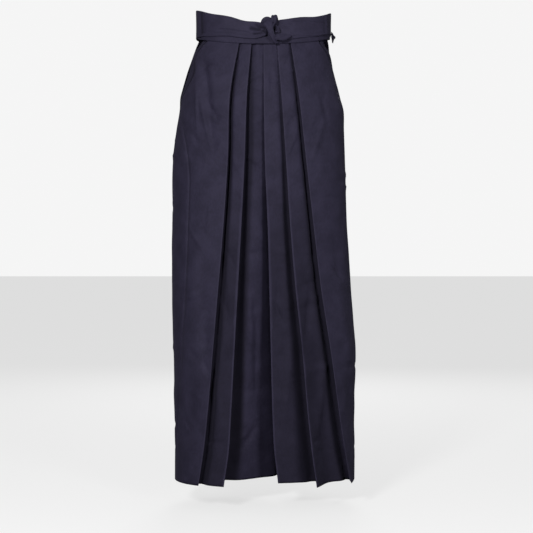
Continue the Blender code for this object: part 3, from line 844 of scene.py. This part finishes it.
# %% Leg panels
def painted_light_on_folds(panel):
    """1 on a pressed edge for a painted highlight, 0 on plain cloth, and down to -1 for painted shade
    deep in a slot.
    """
    near = np.zeros(panel.points.shape[:2])
    for strip in dict.fromkeys(panel.strips):
        if strip.startswith("fold"):
            at = np.flatnonzero(panel.strip == strip)
            middle = panel.along[:, at[len(at) // 2]][:, None]
            near = np.maximum(near, np.exp(-(((panel.along - middle) / 0.0022) ** 2)))
    return np.where(near > 0.05, near, panel.shade)


for name, panel in PANELS.items():
    flat = np.stack([panel.along, panel.curve.height + 0 * panel.along], axis=-1)
    PIECES[name] = add_mesh(name + "_cloth", panel.points, flat, pressed=painted_light_on_folds(panel), wall=CLOTH)
    print(name, "faces:", len(PIECES[name].data.polygons))

# %% [markdown]
# ## Gussets and leaf folds
# A gusset joins the two panels of a leg on its inside, from the crotch to the hem. It is hidden
# but for the view from below, so it is a plain strip with a slight ripple. The leaf folds lie
# under the slanted edges at the hips. The half of each that is nearer the front lies deep and is
# painted dark as shade, which draws the edge of the opening.

# %% Gussets
def gusset(front_line, back_line):
    heights = np.linspace(CROTCH - 0.004, HEM, 60)
    curve = Curve(heights)
    front = curve.front(*line_place(front_line, curve.height))
    back = curve.back(*line_place(back_line, curve.height))
    share = np.linspace(0.004, 0.996, 30)[None, :, None]
    points = mix(front, back, share)
    points[..., 0] += 0.0012 * np.sin(np.pi * share[..., 0]) * np.sin(heights[:, None] * 41)
    return points


SMALL_PANELS = {
    "gusset_right": gusset(CENTRE_PANEL[-1], BACK_SEAM),
    "gusset_left": gusset(LEFT_INSIDE, LEFT_BACK_SEAM),
}
print("gusset from", CROTCH, "to", HEM)

# %% Leaf folds
LEAF_WIDTH, LEAF_TUCK = 13.0, 6.0  # degrees past the front panel's edge, and under it
LEAF_INWARD, LEAF_TOP = 0.0016, -0.0220
LEAF_SLOT = 0.012  # its half nearer the front lies this much deeper, out of the light


def leaf(hand):
    """The fold's inner edge lies under the front panel; its outer edge bulges like a leaf."""
    heights = np.linspace(LEAF_TOP, VENT_END, 48)
    curve = Curve(heights)
    edge = front_edge(curve.height, hand)
    share = (curve.height - VENT_END) / (WAIST_SEAM - VENT_END)
    width = LEAF_WIDTH * np.sin(np.pi * np.clip(share, 0.03, 0.88)) ** 0.5
    vent = back_edge(curve.height, hand) - edge
    width = 0.8 + np.minimum(width, 0.6 * vent)
    across = np.linspace(0, 1, 24)[None, :]
    angle = hand * mix(edge - LEAF_TUCK, edge + width, across)
    x, y = curve.flat(angle, -LEAF_INWARD - LEAF_SLOT * (1 - step(0.50, 0.66, across)))
    return curve.points(x, y, angle)


SMALL_PANELS["leaf_fold_right"] = leaf(-1)
SMALL_PANELS["leaf_fold_left"] = leaf(1)
for name, points in SMALL_PANELS.items():
    across = np.linspace(0, 1, points.shape[1]) + np.zeros((len(points), 1))
    # Painted shade: the half of each leaf fold nearer the front is coloured towards the darkest navy.
    shade = (step(0.50, 0.72, across) - 1) * name.startswith("leaf")
    PIECES[name] = add_mesh(name + "_cloth", points, flat_places(points), pressed=shade, wall=CLOTH)
print("small panels:", len(SMALL_PANELS))

# %% [markdown]
# ## Waistband and ties
# The front waistband is a strip folded over the top of the pleats. The back ties are long
# strips folded lengthwise into several layers, so their edges are round and a second edge shows
# as a step along the face. Each is lofted from sections that go all the way round, because a
# flat ribbon would show no thickness at its edges.

# %% Front waistband
# How deep the band's inside lies, in millimetres: deeper where it holds the pleats.
Ring = namedtuple("Ring", "angle inner")
BAND_INNER = (
    Ring(0, 9.4),
    Ring(22, 9.4),
    Ring(34, 4.9),
    Ring(42, 2.2),
    Ring(58, 2.2),
    Ring(70, 0.2),
    Ring(180, 0.2),
)
WAIST = Curve([WAIST_SEAM])
BAND_WIDTH, BAND_OUTWARD, BAND_ROUND = 0.040, 0.0015, 0.0008


def waistband():
    """A folded strip all the way round, which follows the rise of the waist."""
    angles = np.linspace(-180, 180, 181)
    depths = [ring.inner / 1000 for ring in BAND_INNER]
    inner = -np.interp(np.abs(angles), [ring.angle for ring in BAND_INNER], depths)
    low, high, outer = WAIST_SEAM, WAIST_SEAM + BAND_WIDTH, BAND_OUTWARD
    up = np.linspace(0, 1, 14)
    turn = np.linspace(0, np.pi, 7)[1:-1]
    rows = []
    for angle, depth in zip(angles, inner):
        radius = (outer - depth) / 2
        soft = min(radius, BAND_ROUND)
        face = [(outer - 0.0003 * np.sin(np.pi * s), mix(low, high - soft, s)) for s in up]
        top = [((outer + depth) / 2 + radius * np.cos(t), high - soft + soft * np.sin(t)) for t in turn]
        back = [(depth, mix(high - soft, low, s)) for s in up]
        profile = np.array(face + top + back)
        x, y = WAIST.flat(angle + 0 * profile[:, 0][None, :], profile[:, 0][None, :])
        rows.append(np.stack([x[0], y[0], profile[:, 1] + rise(angle, WAIST_SEAM)], axis=-1))
    return np.array(rows[:-1]).transpose(1, 0, 2)


points = waistband()
PIECES["front_waistband"] = add_mesh(
    "front_waistband_cloth", points, flat_places(points, True), around=True, wall=CLOTH
)
print("waistband points:", points.shape[:2])

# %% Back tie tables
# Angles are degrees round from the front. Heights and outward are in metres.
Tie = namedtuple("Tie", "angle lower upper outward")
BACK_TIE_RIGHT = (
    Tie(1.6, -0.0030, 0.0225, 0.0062),
    Tie(-0.6, -0.0060, 0.0245, 0.0060),
    Tie(-4, -0.0090, 0.0265, 0.0050),
    Tie(-12, -0.0085, 0.0290, 0.0036),
    Tie(-25, -0.0030, 0.0395, 0.0034),
    Tie(-46, 0.0010, 0.0505, 0.0034),
    Tie(-68, 0.0060, 0.0640, 0.0034),
    Tie(-88, 0.0090, 0.0712, 0.0034),
    Tie(-106, 0.0110, 0.0660, 0.0040),
    Tie(-129, 0.0140, 0.0570, 0.0050),
)
BACK_TIE_LEFT = (
    Tie(6.2, -0.0140, 0.0270, 0.0046),
    Tie(8.5, -0.0140, 0.0295, 0.0042),
    Tie(16, -0.0120, 0.0335, 0.0036),
    Tie(28, -0.0060, 0.0390, 0.0034),
    Tie(46, 0.0010, 0.0440, 0.0034),
    Tie(62, 0.0090, 0.0530, 0.0034),
    Tie(84, 0.0170, 0.0650, 0.0034),
    Tie(106, 0.0160, 0.0650, 0.0040),
    Tie(129, 0.0140, 0.0570, 0.0050),
)
print("the ties end at:", BACK_TIE_RIGHT[-1].angle, "and", BACK_TIE_LEFT[-1].angle, "degrees")

# %% [markdown]
# ## Steps and creases of the ties
# A tie folded in layers shows the edge of its outer layer as a small step along its face, and
# pulling it tight gathers creases that run into the knot. Each is a straight line on the face
# with a width and a lift, so a dozen rows a tie are enough.

# %% Lines on the ties
# Lines on a tie, seen from the front, in millimetres.
FoldLine = namedtuple("FoldLine", "start_x start_z end_x end_z width lift kind")
TIE_LINES = {
    "back_tie_right": (
        FoldLine(-100, 17.0, -6, 0.5, 1.3, 1.3, "step"),
        FoldLine(-150, 16.0, -22, -5.5, 1.2, -0.5, "crease"),
        FoldLine(-144, 60, -141, 10, 3.0, 0.9, "crease"),
        FoldLine(-138, 62, -136, 6, 4.0, -1.7, "crease"),
        FoldLine(-128, 58, -124, 8, 4.0, 0.5, "crease"),
        FoldLine(-112, 44, -20, 24, 3.0, -0.9, "crease"),
        FoldLine(-60, 30, -8, 22, 2.6, 0.9, "crease"),
        FoldLine(-34, 14, 4, 5, 4.6, -3.2, "crease"),
        FoldLine(-20, 21, 5, 8, 3.6, -2.6, "crease"),
        FoldLine(-30, 1.5, 6, 9, 1.5, 1.4, "crease"),
        FoldLine(-26, -1, 7, 4, 1.4, -2.0, "crease"),
        FoldLine(-22, -4, 10, -1.0, 1.5, 1.2, "crease"),
    ),
    "back_tie_left": (
        FoldLine(30, 27.5, 140, 33.5, 1.2, -0.8, "crease"),
        FoldLine(44, 24.5, 140, 30.0, 1.6, 0.5, "crease"),
        FoldLine(150, 4.0, 44, -2.5, 1.1, 0.9, "step"),
        FoldLine(136, 60, 138, 8, 1.8, 0.9, "crease"),
        FoldLine(131, 60, 133, 8, 1.8, -0.7, "crease"),
        FoldLine(24, 21, 38, 12, 1.6, 1.5, "crease"),
        FoldLine(24, 15, 42, 1, 1.6, 1.3, "crease"),
        FoldLine(26, 19, 60, 13, 2.2, -1.2, "crease"),
        FoldLine(28, 25, 64, 24, 2.0, -1.3, "crease"),
        FoldLine(26, 10, 50, -4, 2.2, -1.3, "crease"),
        FoldLine(60, 12, 124, 17, 4.0, -0.5, "crease"),
    ),
}
print("lines on the right tie:", len(TIE_LINES["back_tie_right"]))

# %% Sections of a folded band
TIE_THICKNESS = 0.0022


def tie_lift(name, x, z):
    """How far the steps and creases of a tie lift its face."""
    total = 0.0
    for line in TIE_LINES[name]:
        start = np.array([line.start_x, line.start_z]) / 1000
        end = np.array([line.end_x, line.end_z]) / 1000
        length = np.linalg.norm(end - start)
        ahead = (end - start) / length
        along = ((x - start[0]) * ahead[0] + (z - start[1]) * ahead[1]) / length
        off = (x - start[0]) * -ahead[1] + (z - start[1]) * ahead[0]
        off = off * np.sign(ahead[0]) / (line.width / 1000)
        if line.kind == "crease":
            fade = step(-0.02, 0.16, along) * step(1.02, 0.86, along)
            shape = np.exp(-off * off)
        else:
            fade = step(-0.02, 0.12, along) * step(1.3, 0.9, along)
            shape = step(-0.5, 0.5, off)
        total = total + line.lift / 1000 * shape * fade
    return total


def band_section(low, high, thickness, face=34, back=14, turn=5):
    """Shares up a folded band and how far out, all the way round, from the lower edge."""
    radius = thickness / 2
    even, down = np.linspace(0, 1, face), np.linspace(0, 1, back)
    up = (np.sin((even - 0.5) * np.pi) + 1) / 2 * 0.35 + even * 0.65  # points crowd at both edges
    t = np.linspace(0, np.pi, turn + 2)[1:-1]
    foot, top = low + radius, high - radius
    z = [mix(foot, top, up), top + radius * np.sin(t), mix(top, foot, down), foot - radius * np.sin(t)]
    out = [0 * up, -radius + radius * np.cos(t), -thickness + 0 * down, -radius - radius * np.cos(t)]
    return np.concatenate(z), np.concatenate(out)


print("points round a tie:", len(band_section(0.0, 0.040, TIE_THICKNESS)[0]))

# %% Back ties
BOARD_BOTTOM, BOARD_TOP, BOARD_OUTWARD = 0.0125, 0.0700, 0.0052
BOARD_HALF_ANGLES = (50.0, 37.0)  # at the board's foot and at its top
TIE_DARK_AT = 0.0020  # a trough this deep in a tie is as dark as it gets


def back_tie(name, table):
    """A tie from the knot round to the edge of the board."""
    hand = np.sign(table[-1].angle)
    last = abs(table[-1].angle)
    share = np.linspace(0, 1, 150)
    rows, shades = [], []
    for s in share:
        end = 180 - BOARD_HALF_ANGLES[0] - 0.5
        base = mix(hand * table[0].angle, end, s)
        at = hand * min(base, last)
        low, high, out = (column(table, part, at, "angle") for part in ("lower", "upper", "outward"))
        z, depth = band_section(low, high, TIE_THICKNESS)
        slant = (z - BOARD_BOTTOM) / (BOARD_TOP - BOARD_BOTTOM)
        side = mix(*BOARD_HALF_ANGLES, np.clip(slant, 0, 1))
        angle = hand * (base + step(0.80, 1.0, s) * (BOARD_HALF_ANGLES[0] - side))
        x, y = WAIST.flat(angle[None, :], (out + TIE_THICKNESS / 2 + depth)[None, :])
        face = step(-0.0008, 0.0, depth)
        lift = tie_lift(name, x[0], z) * (y[0] < 0.03) * face
        sway = 0.0006 * np.sin(base / 9.0 + 40 * z) * face * step(0.0, 0.1, s)
        x, y = WAIST.flat(angle[None, :], (out + TIE_THICKNESS / 2 + depth + lift + sway)[None, :])
        rows.append(np.stack([x[0], y[0], z], axis=-1))
        # Painted shade in each trough of the tie, and a painted highlight on its steps and ridges.
        shades.append(np.clip(lift / TIE_DARK_AT, -1.0, 0.35))
    return np.array(rows), np.array(shades)


for name, table in (("back_tie_right", BACK_TIE_RIGHT), ("back_tie_left", BACK_TIE_LEFT)):
    points, shade = back_tie(name, table)
    flat = flat_places(points, True)
    PIECES[name] = add_mesh(name + "_cloth", points, flat, True, True, pressed=shade)
    print(name, "points:", points.shape[:2])

# %% [markdown]
# ## Back board
# At the back a stiff board covered with the same cloth holds the small of the back. It has
# slanted ends and rounded edges, so it is lofted like a thick tie, with sections that shrink a
# little at its two ends.

# %% Board
BOARD_THICKNESS = 0.0036


def back_board():
    rows, half = [], BOARD_THICKNESS / 2
    for s in np.linspace(-1, 1, 90):
        z, depth = band_section(BOARD_BOTTOM, BOARD_TOP, BOARD_THICKNESS, 30, 20)
        share = (z - BOARD_BOTTOM) / (BOARD_TOP - BOARD_BOTTOM)
        rounded = 1 - np.sqrt(np.clip(1 - (max(abs(s) - 0.97, 0) / 0.03) ** 2, 0, 1))
        angle = 180 - mix(*BOARD_HALF_ANGLES, share) * s
        out = BOARD_OUTWARD + half + depth * (1 - rounded * 0.8) - half * rounded * 0.8
        x, y = WAIST.flat(angle[None, :], out[None, :])
        rows.append(np.stack([x[0], y[0], z], axis=-1))
    return np.array(rows)


points = back_board()
PIECES["back_board"] = add_mesh("back_board_cloth", points, flat_places(points, True), True, True)
print("board points:", points.shape[:2])

# %% [markdown]
# ## The knot
# The two back ties cross at the front and one wraps over the other. A knot in folded cloth is a
# few flattened tubes that bend sharply. Each is swept along its own line with a width, a
# thickness and small pleats along it, and their ends run under their neighbours. Places are
# given one by one, because a simulated knot would hardly land in the same folds.

# %% Bends of the knot, in millimetres
Bend = namedtuple("Bend", "across up out width thick")
KNOT = {
    "knot_turn": (
        Bend(2, 16, -3, 20, 5), Bend(4, 23.5, 3, 22, 6), Bend(7, 24.5, 8, 24, 6.5),
        Bend(9.5, 19, 12, 21, 7), Bend(12, 11, 13, 15, 7.5), Bend(15, 1, 12.5, 12.5, 7.5),
        Bend(20, -8, 10, 13, 7), Bend(25, -14, 5, 14, 6), Bend(27, -15, -2, 14, 5),
    ),
    "knot_ridge": (
        Bend(26, 26, 8, 4, 4), Bend(22.5, 20.5, 13.5, 4.4, 4), Bend(19.5, 15, 15.5, 3.8, 3.6),
        Bend(18.6, 9.5, 16, 3.2, 3.2), Bend(19.4, 3, 15.5, 3.2, 3.2), Bend(21.5, -4, 13.5, 3.4, 3.4),
        Bend(24, -10, 10.5, 4, 3.6), Bend(28, -14.5, 7, 5, 4),
    ),
    "knot_tail_upper": (
        Bend(19, 20, 8, 8, 3), Bend(18.8, 26, 11.5, 8, 3.6), Bend(19, 32, 11.5, 8, 3.6),
        Bend(19.6, 35.5, 8.5, 8, 3.4), Bend(20.4, 33, 5, 8, 3), Bend(21, 27, 3, 8, 3),
    ),
    "knot_loop": (
        Bend(23.4, 17, 7, 7, 3.4), Bend(23.8, 24, 12.4, 7, 4), Bend(24.2, 31, 13, 7.4, 4.2),
        Bend(24.8, 36, 9.5, 7.6, 4), Bend(26, 33.5, 5, 8, 3.6), Bend(27.5, 26, 2, 8, 3),
    ),
    "knot_curl": (
        Bend(26.5, 15, 8, 3.0, 3.0), Bend(29.6, 12.5, 10, 3.0, 3.0), Bend(30.6, 8, 11, 3.0, 3.0),
        Bend(29.0, 3.6, 10.5, 2.8, 2.8), Bend(26.4, 2.4, 9.5, 2.6, 2.6), Bend(24.6, 5.0, 9.0, 2.4, 2.4),
    ),
    "knot_tail_lower": (
        Bend(22, -5, 5, 10, 4), Bend(28, -7, 8.5, 13, 5), Bend(35, -8.5, 8, 15, 5),
        Bend(43, -8, 5.5, 14, 4.5), Bend(51, -5.5, 2.5, 10, 3.5), Bend(57, -3, 0.5, 5, 2.5),
    ),
}
print("folds of the knot:", len(KNOT))

# %% Swept folds of the knot
KNOT_FRONT = 0.0062  # the knot lies this far ahead of the waist


def sweep(bends, count=46, around=28, pleats=0.13):
    """A flattened tube of cloth along a given line."""
    places = np.arange(len(bends))
    at = np.linspace(0, len(bends) - 1, count)
    table = np.array(bends, float) / 1000
    x, z, out, width, thick = [smooth(places, table[:, k], at) for k in range(5)]
    front = WAIST.flat(np.zeros((1, 1)))[1][0, 0] - KNOT_FRONT
    spine = np.stack([x, front - out, z], axis=-1)
    ahead = np.gradient(spine, axis=0)
    ahead /= np.linalg.norm(ahead, axis=1, keepdims=True)
    face = np.array([0.0, -1.0, 0.15]) + 0 * ahead
    turned = np.cross(ahead, face)
    side = np.empty_like(turned)
    side[0] = turned[0]
    for k in range(1, count):
        side[k] = turned[k] if np.dot(turned[k], side[k - 1]) >= 0 else -turned[k]
    side /= np.maximum(np.linalg.norm(side, axis=1, keepdims=True), 1e-9)
    up = np.cross(side, ahead)
    t = np.linspace(0, 2 * np.pi, around, endpoint=False)[None, :, None]
    c, s = np.cos(t), np.sin(t)
    wide = np.sign(c) * np.abs(c) ** 0.8 * width[:, None, None] / 2
    deep = np.sign(s) * np.abs(s) ** 0.8 * thick[:, None, None] / 2
    deep = deep * (1 + pleats * np.cos(5 * t + 0.3 * at[:, None, None]))
    return spine[:, None] + side[:, None] * wide + up[:, None] * deep


for name, bends in KNOT.items():
    points = sweep(bends)
    PIECES[name] = add_mesh(name + "_cloth", points, flat_places(points, True), True, True)
    print(name, "points:", points.shape[:2])

# %% [markdown]
# ## Tip of the front tie
# The front tie goes on round the waist, and its end is tucked in at the hip with one pointed
# corner left out. It is a small sheet that narrows to that corner, set out from the waist curve
# by a table of four sections.

# %% Tie tip
TipSection = namedtuple("TipSection", "angle outward low high")
TIE_TIP = (
    TipSection(90, 0.0050, 0.0165, 0.0268),
    TipSection(93, 0.0085, 0.0030, 0.0250),
    TipSection(95, 0.0115, 0.0115, 0.0215),
    TipSection(97, 0.0158, 0.0165, 0.0195),
)


def tie_tip(count=22, across=12):
    """The pointed end of the front tie, which pokes out behind the hip."""
    at = np.linspace(0, len(TIE_TIP) - 1, count)[:, None]
    angle, out, low, high = [smooth(range(len(TIE_TIP)), values, at) for values in zip(*TIE_TIP)]
    share = np.linspace(0, 1, across)[None, :]
    out = out + 0.0005 * np.sin(3 * np.pi * share)
    x, y = WAIST.flat(angle + 0 * share, out)
    return np.stack([x, y, mix(low, high, share)], axis=-1)


points = tie_tip()
PIECES["tie_tip"] = add_mesh("tie_tip_cloth", points, flat_places(points), wall=0.0012)
print("pieces of cloth:", len(PIECES))

# %% [markdown]
# ## Shader sums
# Patterns in a material are sums on values that vary over the cloth. They could be wired by
# hand, node by node, but a small class that wraps a socket lets `1 - mask * 0.2` add the Math
# nodes itself. Every other node comes from one method.

# %% A socket that can be used in sums
class Value:
    """A socket that can be used in sums."""

    def __init__(self, finish, socket):
        self.finish, self.socket = finish, socket

    def maths(self, operation, first, second=0.0):
        return self.finish.node("ShaderNodeMath", {"operation": operation}, {0: first, 1: second})

    def __add__(self, other):
        return self.maths("ADD", self, other)

    def __radd__(self, other):
        return self.maths("ADD", other, self)

    def __sub__(self, other):
        return self.maths("SUBTRACT", self, other)

    def __rsub__(self, other):
        return self.maths("SUBTRACT", other, self)

    def __mul__(self, other):
        return self.maths("MULTIPLY", self, other)

    def __rmul__(self, other):
        return self.maths("MULTIPLY", other, self)

    def __truediv__(self, other):
        return self.maths("DIVIDE", self, other)

    def sine(self):
        return self.maths("SINE", self)

    def part(self):
        """What is left of a number past its whole part."""
        return self.maths("FRACT", self)

    def size(self):
        """The number without its sign."""
        return self.maths("ABSOLUTE", self)

    def between(self, low, high):
        """0 below low, 1 above high, and a soft step between; the other way where low > high."""
        settings = {"interpolation_type": "SMOOTHSTEP"}
        sockets = {"Value": self, "From Min": low, "From Max": high}
        if low > high:
            sockets = {"Value": self, "From Min": high, "From Max": low, "To Min": 1.0, "To Max": 0.0}
        return self.finish.node("ShaderNodeMapRange", settings, sockets)


print("sums: + - * /, sine, part, size, between")

# %% A material under construction
class Finish:
    """The nodes of a material, or of the world."""

    def __init__(self, owner):
        owner.use_nodes = True
        self.owner, self.tree = owner, owner.node_tree
        self.shader = self.tree.nodes.get("Principled BSDF") or self.tree.nodes["Background"]

    def node(self, kind, settings=None, sockets=None, out=0):
        """A new node of a kind, with its settings first and then its sockets' values or links."""
        made = self.tree.nodes.new(kind)
        for name, value in (settings or {}).items():
            setattr(made, name, value)
        for name, value in (sockets or {}).items():
            self.feed(made.inputs[name], value)
        return Value(self, made.outputs[out])

    def feed(self, socket, value):
        if isinstance(value, Value):
            self.tree.links.new(value.socket, socket)
        else:
            socket.default_value = value

    def noise(self, place, scale, detail=3.0):
        return self.node("ShaderNodeTexNoise", {}, {"Vector": place, "Scale": scale, "Detail": detail})

    def stretched(self, place, across, down):
        """A place scaled differently across and down, so that a pattern comes out drawn out."""
        sockets = {0: place, 1: (across, down, 1.0)}
        return self.node("ShaderNodeVectorMath", {"operation": "MULTIPLY"}, sockets)

    def blend(self, share, first, second):
        return self.node("ShaderNodeMix", {"data_type": "RGBA"}, {0: share, 6: first, 7: second}, out=2)


print("finishes are built with:", Finish.node.__name__)

# %% [markdown]
# ## Navy twill
# The cloth is a washed cotton twill: threads float over each other in steps, which draws thin
# slanting ribs a little under a millimetre apart. Its dye is a dark violet navy that looks
# cloudy up close. Pressed edges get a painted highlight and a little shine, the turned-up hem is
# painted a touch darker as shade, points deep in the slots and inside the pleats are painted
# towards the darkest navy as shade, and a faint nap gives a soft sheen at glancing angles. All of
# it is worked out from flat places on the cutting table, so nothing slides or stretches where the
# cloth bends.

# %% The twill finish
RIB = 0.0011  # one twill rib, measured across the cloth
STITCH = 0.0075  # from one hem stitch to the next
NAVY_PAINTED_SHADE = (0.0060, 0.0052, 0.0098, 1)  # the painted shade deep in a slot and inside the pleats
NAVY_DEEP, NAVY_LIT = (0.0182, 0.0157, 0.0324, 1), (0.0266, 0.0231, 0.0462, 1)


def twill(name, tone=1.0, hem=True):
    """The washed twill. tone makes its whole colour lighter or darker, and darker paints shade; hem
    draws the hem's stitches and paints the turned-up hem darker.
    """
    finish = Finish(bpy.data.materials.new(name))
    flat = finish.node("ShaderNodeUVMap", {"uv_map": FLAT_MAP})
    across, down = [finish.node("ShaderNodeSeparateXYZ", {}, {0: flat}, out) for out in (0, 1)]
    ribs = ((across + down * 0.8) * (2 * np.pi / RIB)).sine()
    # Slubs are threads thicker here and there, the dye is cloudy, and washing leaves it mottled.
    slubs = finish.noise(finish.stretched(flat, 900.0, 70.0), 1.0, 2.0)
    cloudy = finish.noise(flat, 26.0, 4.0)
    mottled = finish.noise(finish.stretched(flat, 1.0, 0.6), 230.0, 3.0)
    pressed = finish.node("ShaderNodeAttribute", {"attribute_name": "pressed"}, out=2)
    share = 0.5 + (cloudy - 0.5) * 2.7 + (mottled - 0.5) * 1.9 + (slubs - 0.5) * 0.35 + ribs * 0.05
    if hem:  # a row of small stitches, and the turned-up part below it
        row = (down - HEM_LINE).size().between(0.0009, 0.0004)
        dash = (across / STITCH).part().between(0.50, 0.44)
        # Painted shade: the turned-up hem below the stitches is coloured a touch darker.
        turned = down.between(HEM_LINE + 0.002, HEM_LINE - 0.002)
        share = share + row * dash * 0.8 - turned * 0.14
    # Painted highlight: the colour is lighter along each pressed edge and on raised tie ridges.
    share = share + pressed.between(0.0, 1.0) * 0.7
    deep, lit = [tuple(c * tone for c in dye[:3]) + (1,) for dye in (NAVY_DEEP, NAVY_LIT)]
    # Painted shade: deep in a slot and inside the pleats the colour goes towards the darkest navy.
    painted_shade = pressed.between(-0.05, -1.0)
    colour = finish.blend(painted_shade * 0.62, finish.blend(share, deep, lit), NAVY_PAINTED_SHADE)
    finish.feed(finish.shader.inputs["Base Color"], colour)
    finish.feed(finish.shader.inputs["Roughness"], 0.74 + (mottled - 0.5) * 0.2 - pressed * 0.12)
    height = ribs * 0.35 + slubs * 0.8 + mottled * 1.4
    bump = finish.node("ShaderNodeBump", {}, {"Strength": 0.35, "Distance": 0.0004, "Height": height})
    finish.feed(finish.shader.inputs["Normal"], bump)
    for socket, value in (
        ("Specular IOR Level", 0.16), ("Sheen Weight", 0.04), ("Sheen Roughness", 0.45),
        ("Sheen Tint", (0.66, 0.64, 0.95, 1)),
    ):
        finish.shader.inputs[socket].default_value = value
    return finish.owner


TWILL = twill("navy twill")
# Painted shade: the inner layers take the same twill at 0.8 of its colour.
TWILL_INNER_SHADED = twill("navy twill, inner layers", tone=0.8, hem=False)
TWILL_FOLDED = twill("navy twill, folded ties", tone=1.02, hem=False)
print("finishes:", TWILL.name, "/", TWILL_INNER_SHADED.name, "/", TWILL_FOLDED.name)

# %% [markdown]
# ## Which piece stands for which solid
# Each cloth piece rides on the one body and takes the place of its plain solid. Three small
# folds of the knot have no solid of their own and only ride.

# %% Finishes and riding
INNER = ("gusset_right", "gusset_left", "leaf_fold_right", "leaf_fold_left", "tie_tip")
LEG = ("front_right", "front_left", "back_right", "back_left")
for name, piece in PIECES.items():
    material, slot = TWILL_FOLDED, "folded_tie"
    if name in LEG:
        material, slot = TWILL, "twill"
    elif name in INNER:
        material, slot = TWILL_INNER_SHADED, "twill_inner"
    piece.data.materials.append(material)
    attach(piece, "root")
    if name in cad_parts:
        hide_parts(name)
print("pieces:", len(PIECES))

# %% A record for a flat cut, in metres
Cut = namedtuple("Cut", "width length held area")

# %% [markdown]
# ## Floor and backdrop
# The trousers hang a little above a plain pale floor that runs on into a backdrop of the same
# tone. The floor glows faintly by itself, as paper under studio lamps does, and takes a soft
# shadow. It isn't seen by the light that the cloth gathers, because it would light the folds
# from below more than a studio does.

# %% Floor
PALE = 0.915
FLOOR_HEIGHT = HEM - 0.058
FLOOR_REACH = 60.0


def pale_finish():
    finish = Finish(bpy.data.materials.new("pale studio floor"))
    for socket, value in (
        ("Base Color", (0.30, 0.30, 0.30, 1)), ("Roughness", 1.0), ("Specular IOR Level", 0.0),
        ("Emission Color", (1.0, 1.0, 1.0, 1)), ("Emission Strength", 0.66),
    ):
        finish.feed(finish.shader.inputs[socket], value)
    return finish.owner


corners = [(x * FLOOR_REACH, y * FLOOR_REACH, 0) for x, y in ((-1, -1), (1, -1), (1, 1), (-1, 1))]
floor_mesh = bpy.data.meshes.new("studio_floor")
floor_mesh.from_pydata(corners, [], [(0, 1, 2, 3)])
floor_mesh.materials.append(pale_finish())
floor = bpy.data.objects.new("studio_floor", floor_mesh)
floor.location.z = FLOOR_HEIGHT
floor.visible_diffuse = False
floor.visible_glossy = False
bpy.context.scene.collection.objects.link(floor)
print("floor at height:", FLOOR_HEIGHT)

# %% [markdown]
# ## Light
# Even light from above fills the pleats, and little of it comes from below. A soft key light
# stands ahead and to the left, a weaker fill lower down at the right, and a broad light behind
# keeps the back of the trousers from going black when the view goes round. Only the camera sees
# the sky as the pale backdrop.

# %% Sky
SKY_BELOW, SKY_ABOVE = 0.03, 0.26
scene = bpy.context.scene
scene.view_settings.view_transform = "Standard"
scene.view_settings.look = "None"
world = bpy.data.worlds.new("studio")
scene.world = world
sky = Finish(world)
sky.feed(sky.shader.inputs["Color"], (1, 1, 1, 1))
toward = sky.node("ShaderNodeTexCoord")
height = sky.node("ShaderNodeSeparateXYZ", {}, {0: toward}, out=2)
ambient = height.between(-0.5, 0.9) * (SKY_ABOVE - SKY_BELOW) + SKY_BELOW
seen = sky.node("ShaderNodeLightPath", out=0)
sky.feed(sky.shader.inputs["Strength"], ambient + seen * (PALE - ambient))
print("sky from", SKY_BELOW, "below to", SKY_ABOVE, "above")

# %% Lamps
def soft_light(name, place, power, size, aim=(0, 0, -0.45)):
    lamp = bpy.data.lights.new(name, "AREA")
    lamp.energy, lamp.shape, lamp.size = power, "DISK", size
    light = bpy.data.objects.new(name, lamp)
    light.location = place
    light.rotation_euler = (Vector(aim) - Vector(place)).to_track_quat("-Z", "Y").to_euler()
    scene.collection.objects.link(light)


soft_light("key", (-0.8, -2.35, 0.3), 47, 0.45)
soft_light("fill", (1.3, -2.2, -0.4), 26, 0.6)
soft_light("behind", (0.2, 2.6, 0.9), 26, 1.4)
print("lamps:", [lamp.name for lamp in bpy.data.lights if lamp.users])

# %% [markdown]
# ## Camera
# The camera stands level with the middle of the trousers, 2.6 m ahead of the waist, so upright
# edges stay upright, and a long lens keeps the near and far parts at much the same scale.

# %% Camera
CAMERA_AWAY, CAMERA_HEIGHT, CAMERA_SIDE = 2.6, -0.4993, 0.0056
view = bpy.data.objects.new("camera", bpy.data.cameras.new("camera"))
view.location = (CAMERA_SIDE, -CAMERA_AWAY, CAMERA_HEIGHT)
view.rotation_euler = (np.pi / 2, 0, 0)
view.data.lens, view.data.sensor_width = 78.3, 36.0
scene.collection.objects.link(view)
scene.camera = view
print("camera:", tuple(round(v, 3) for v in view.location))
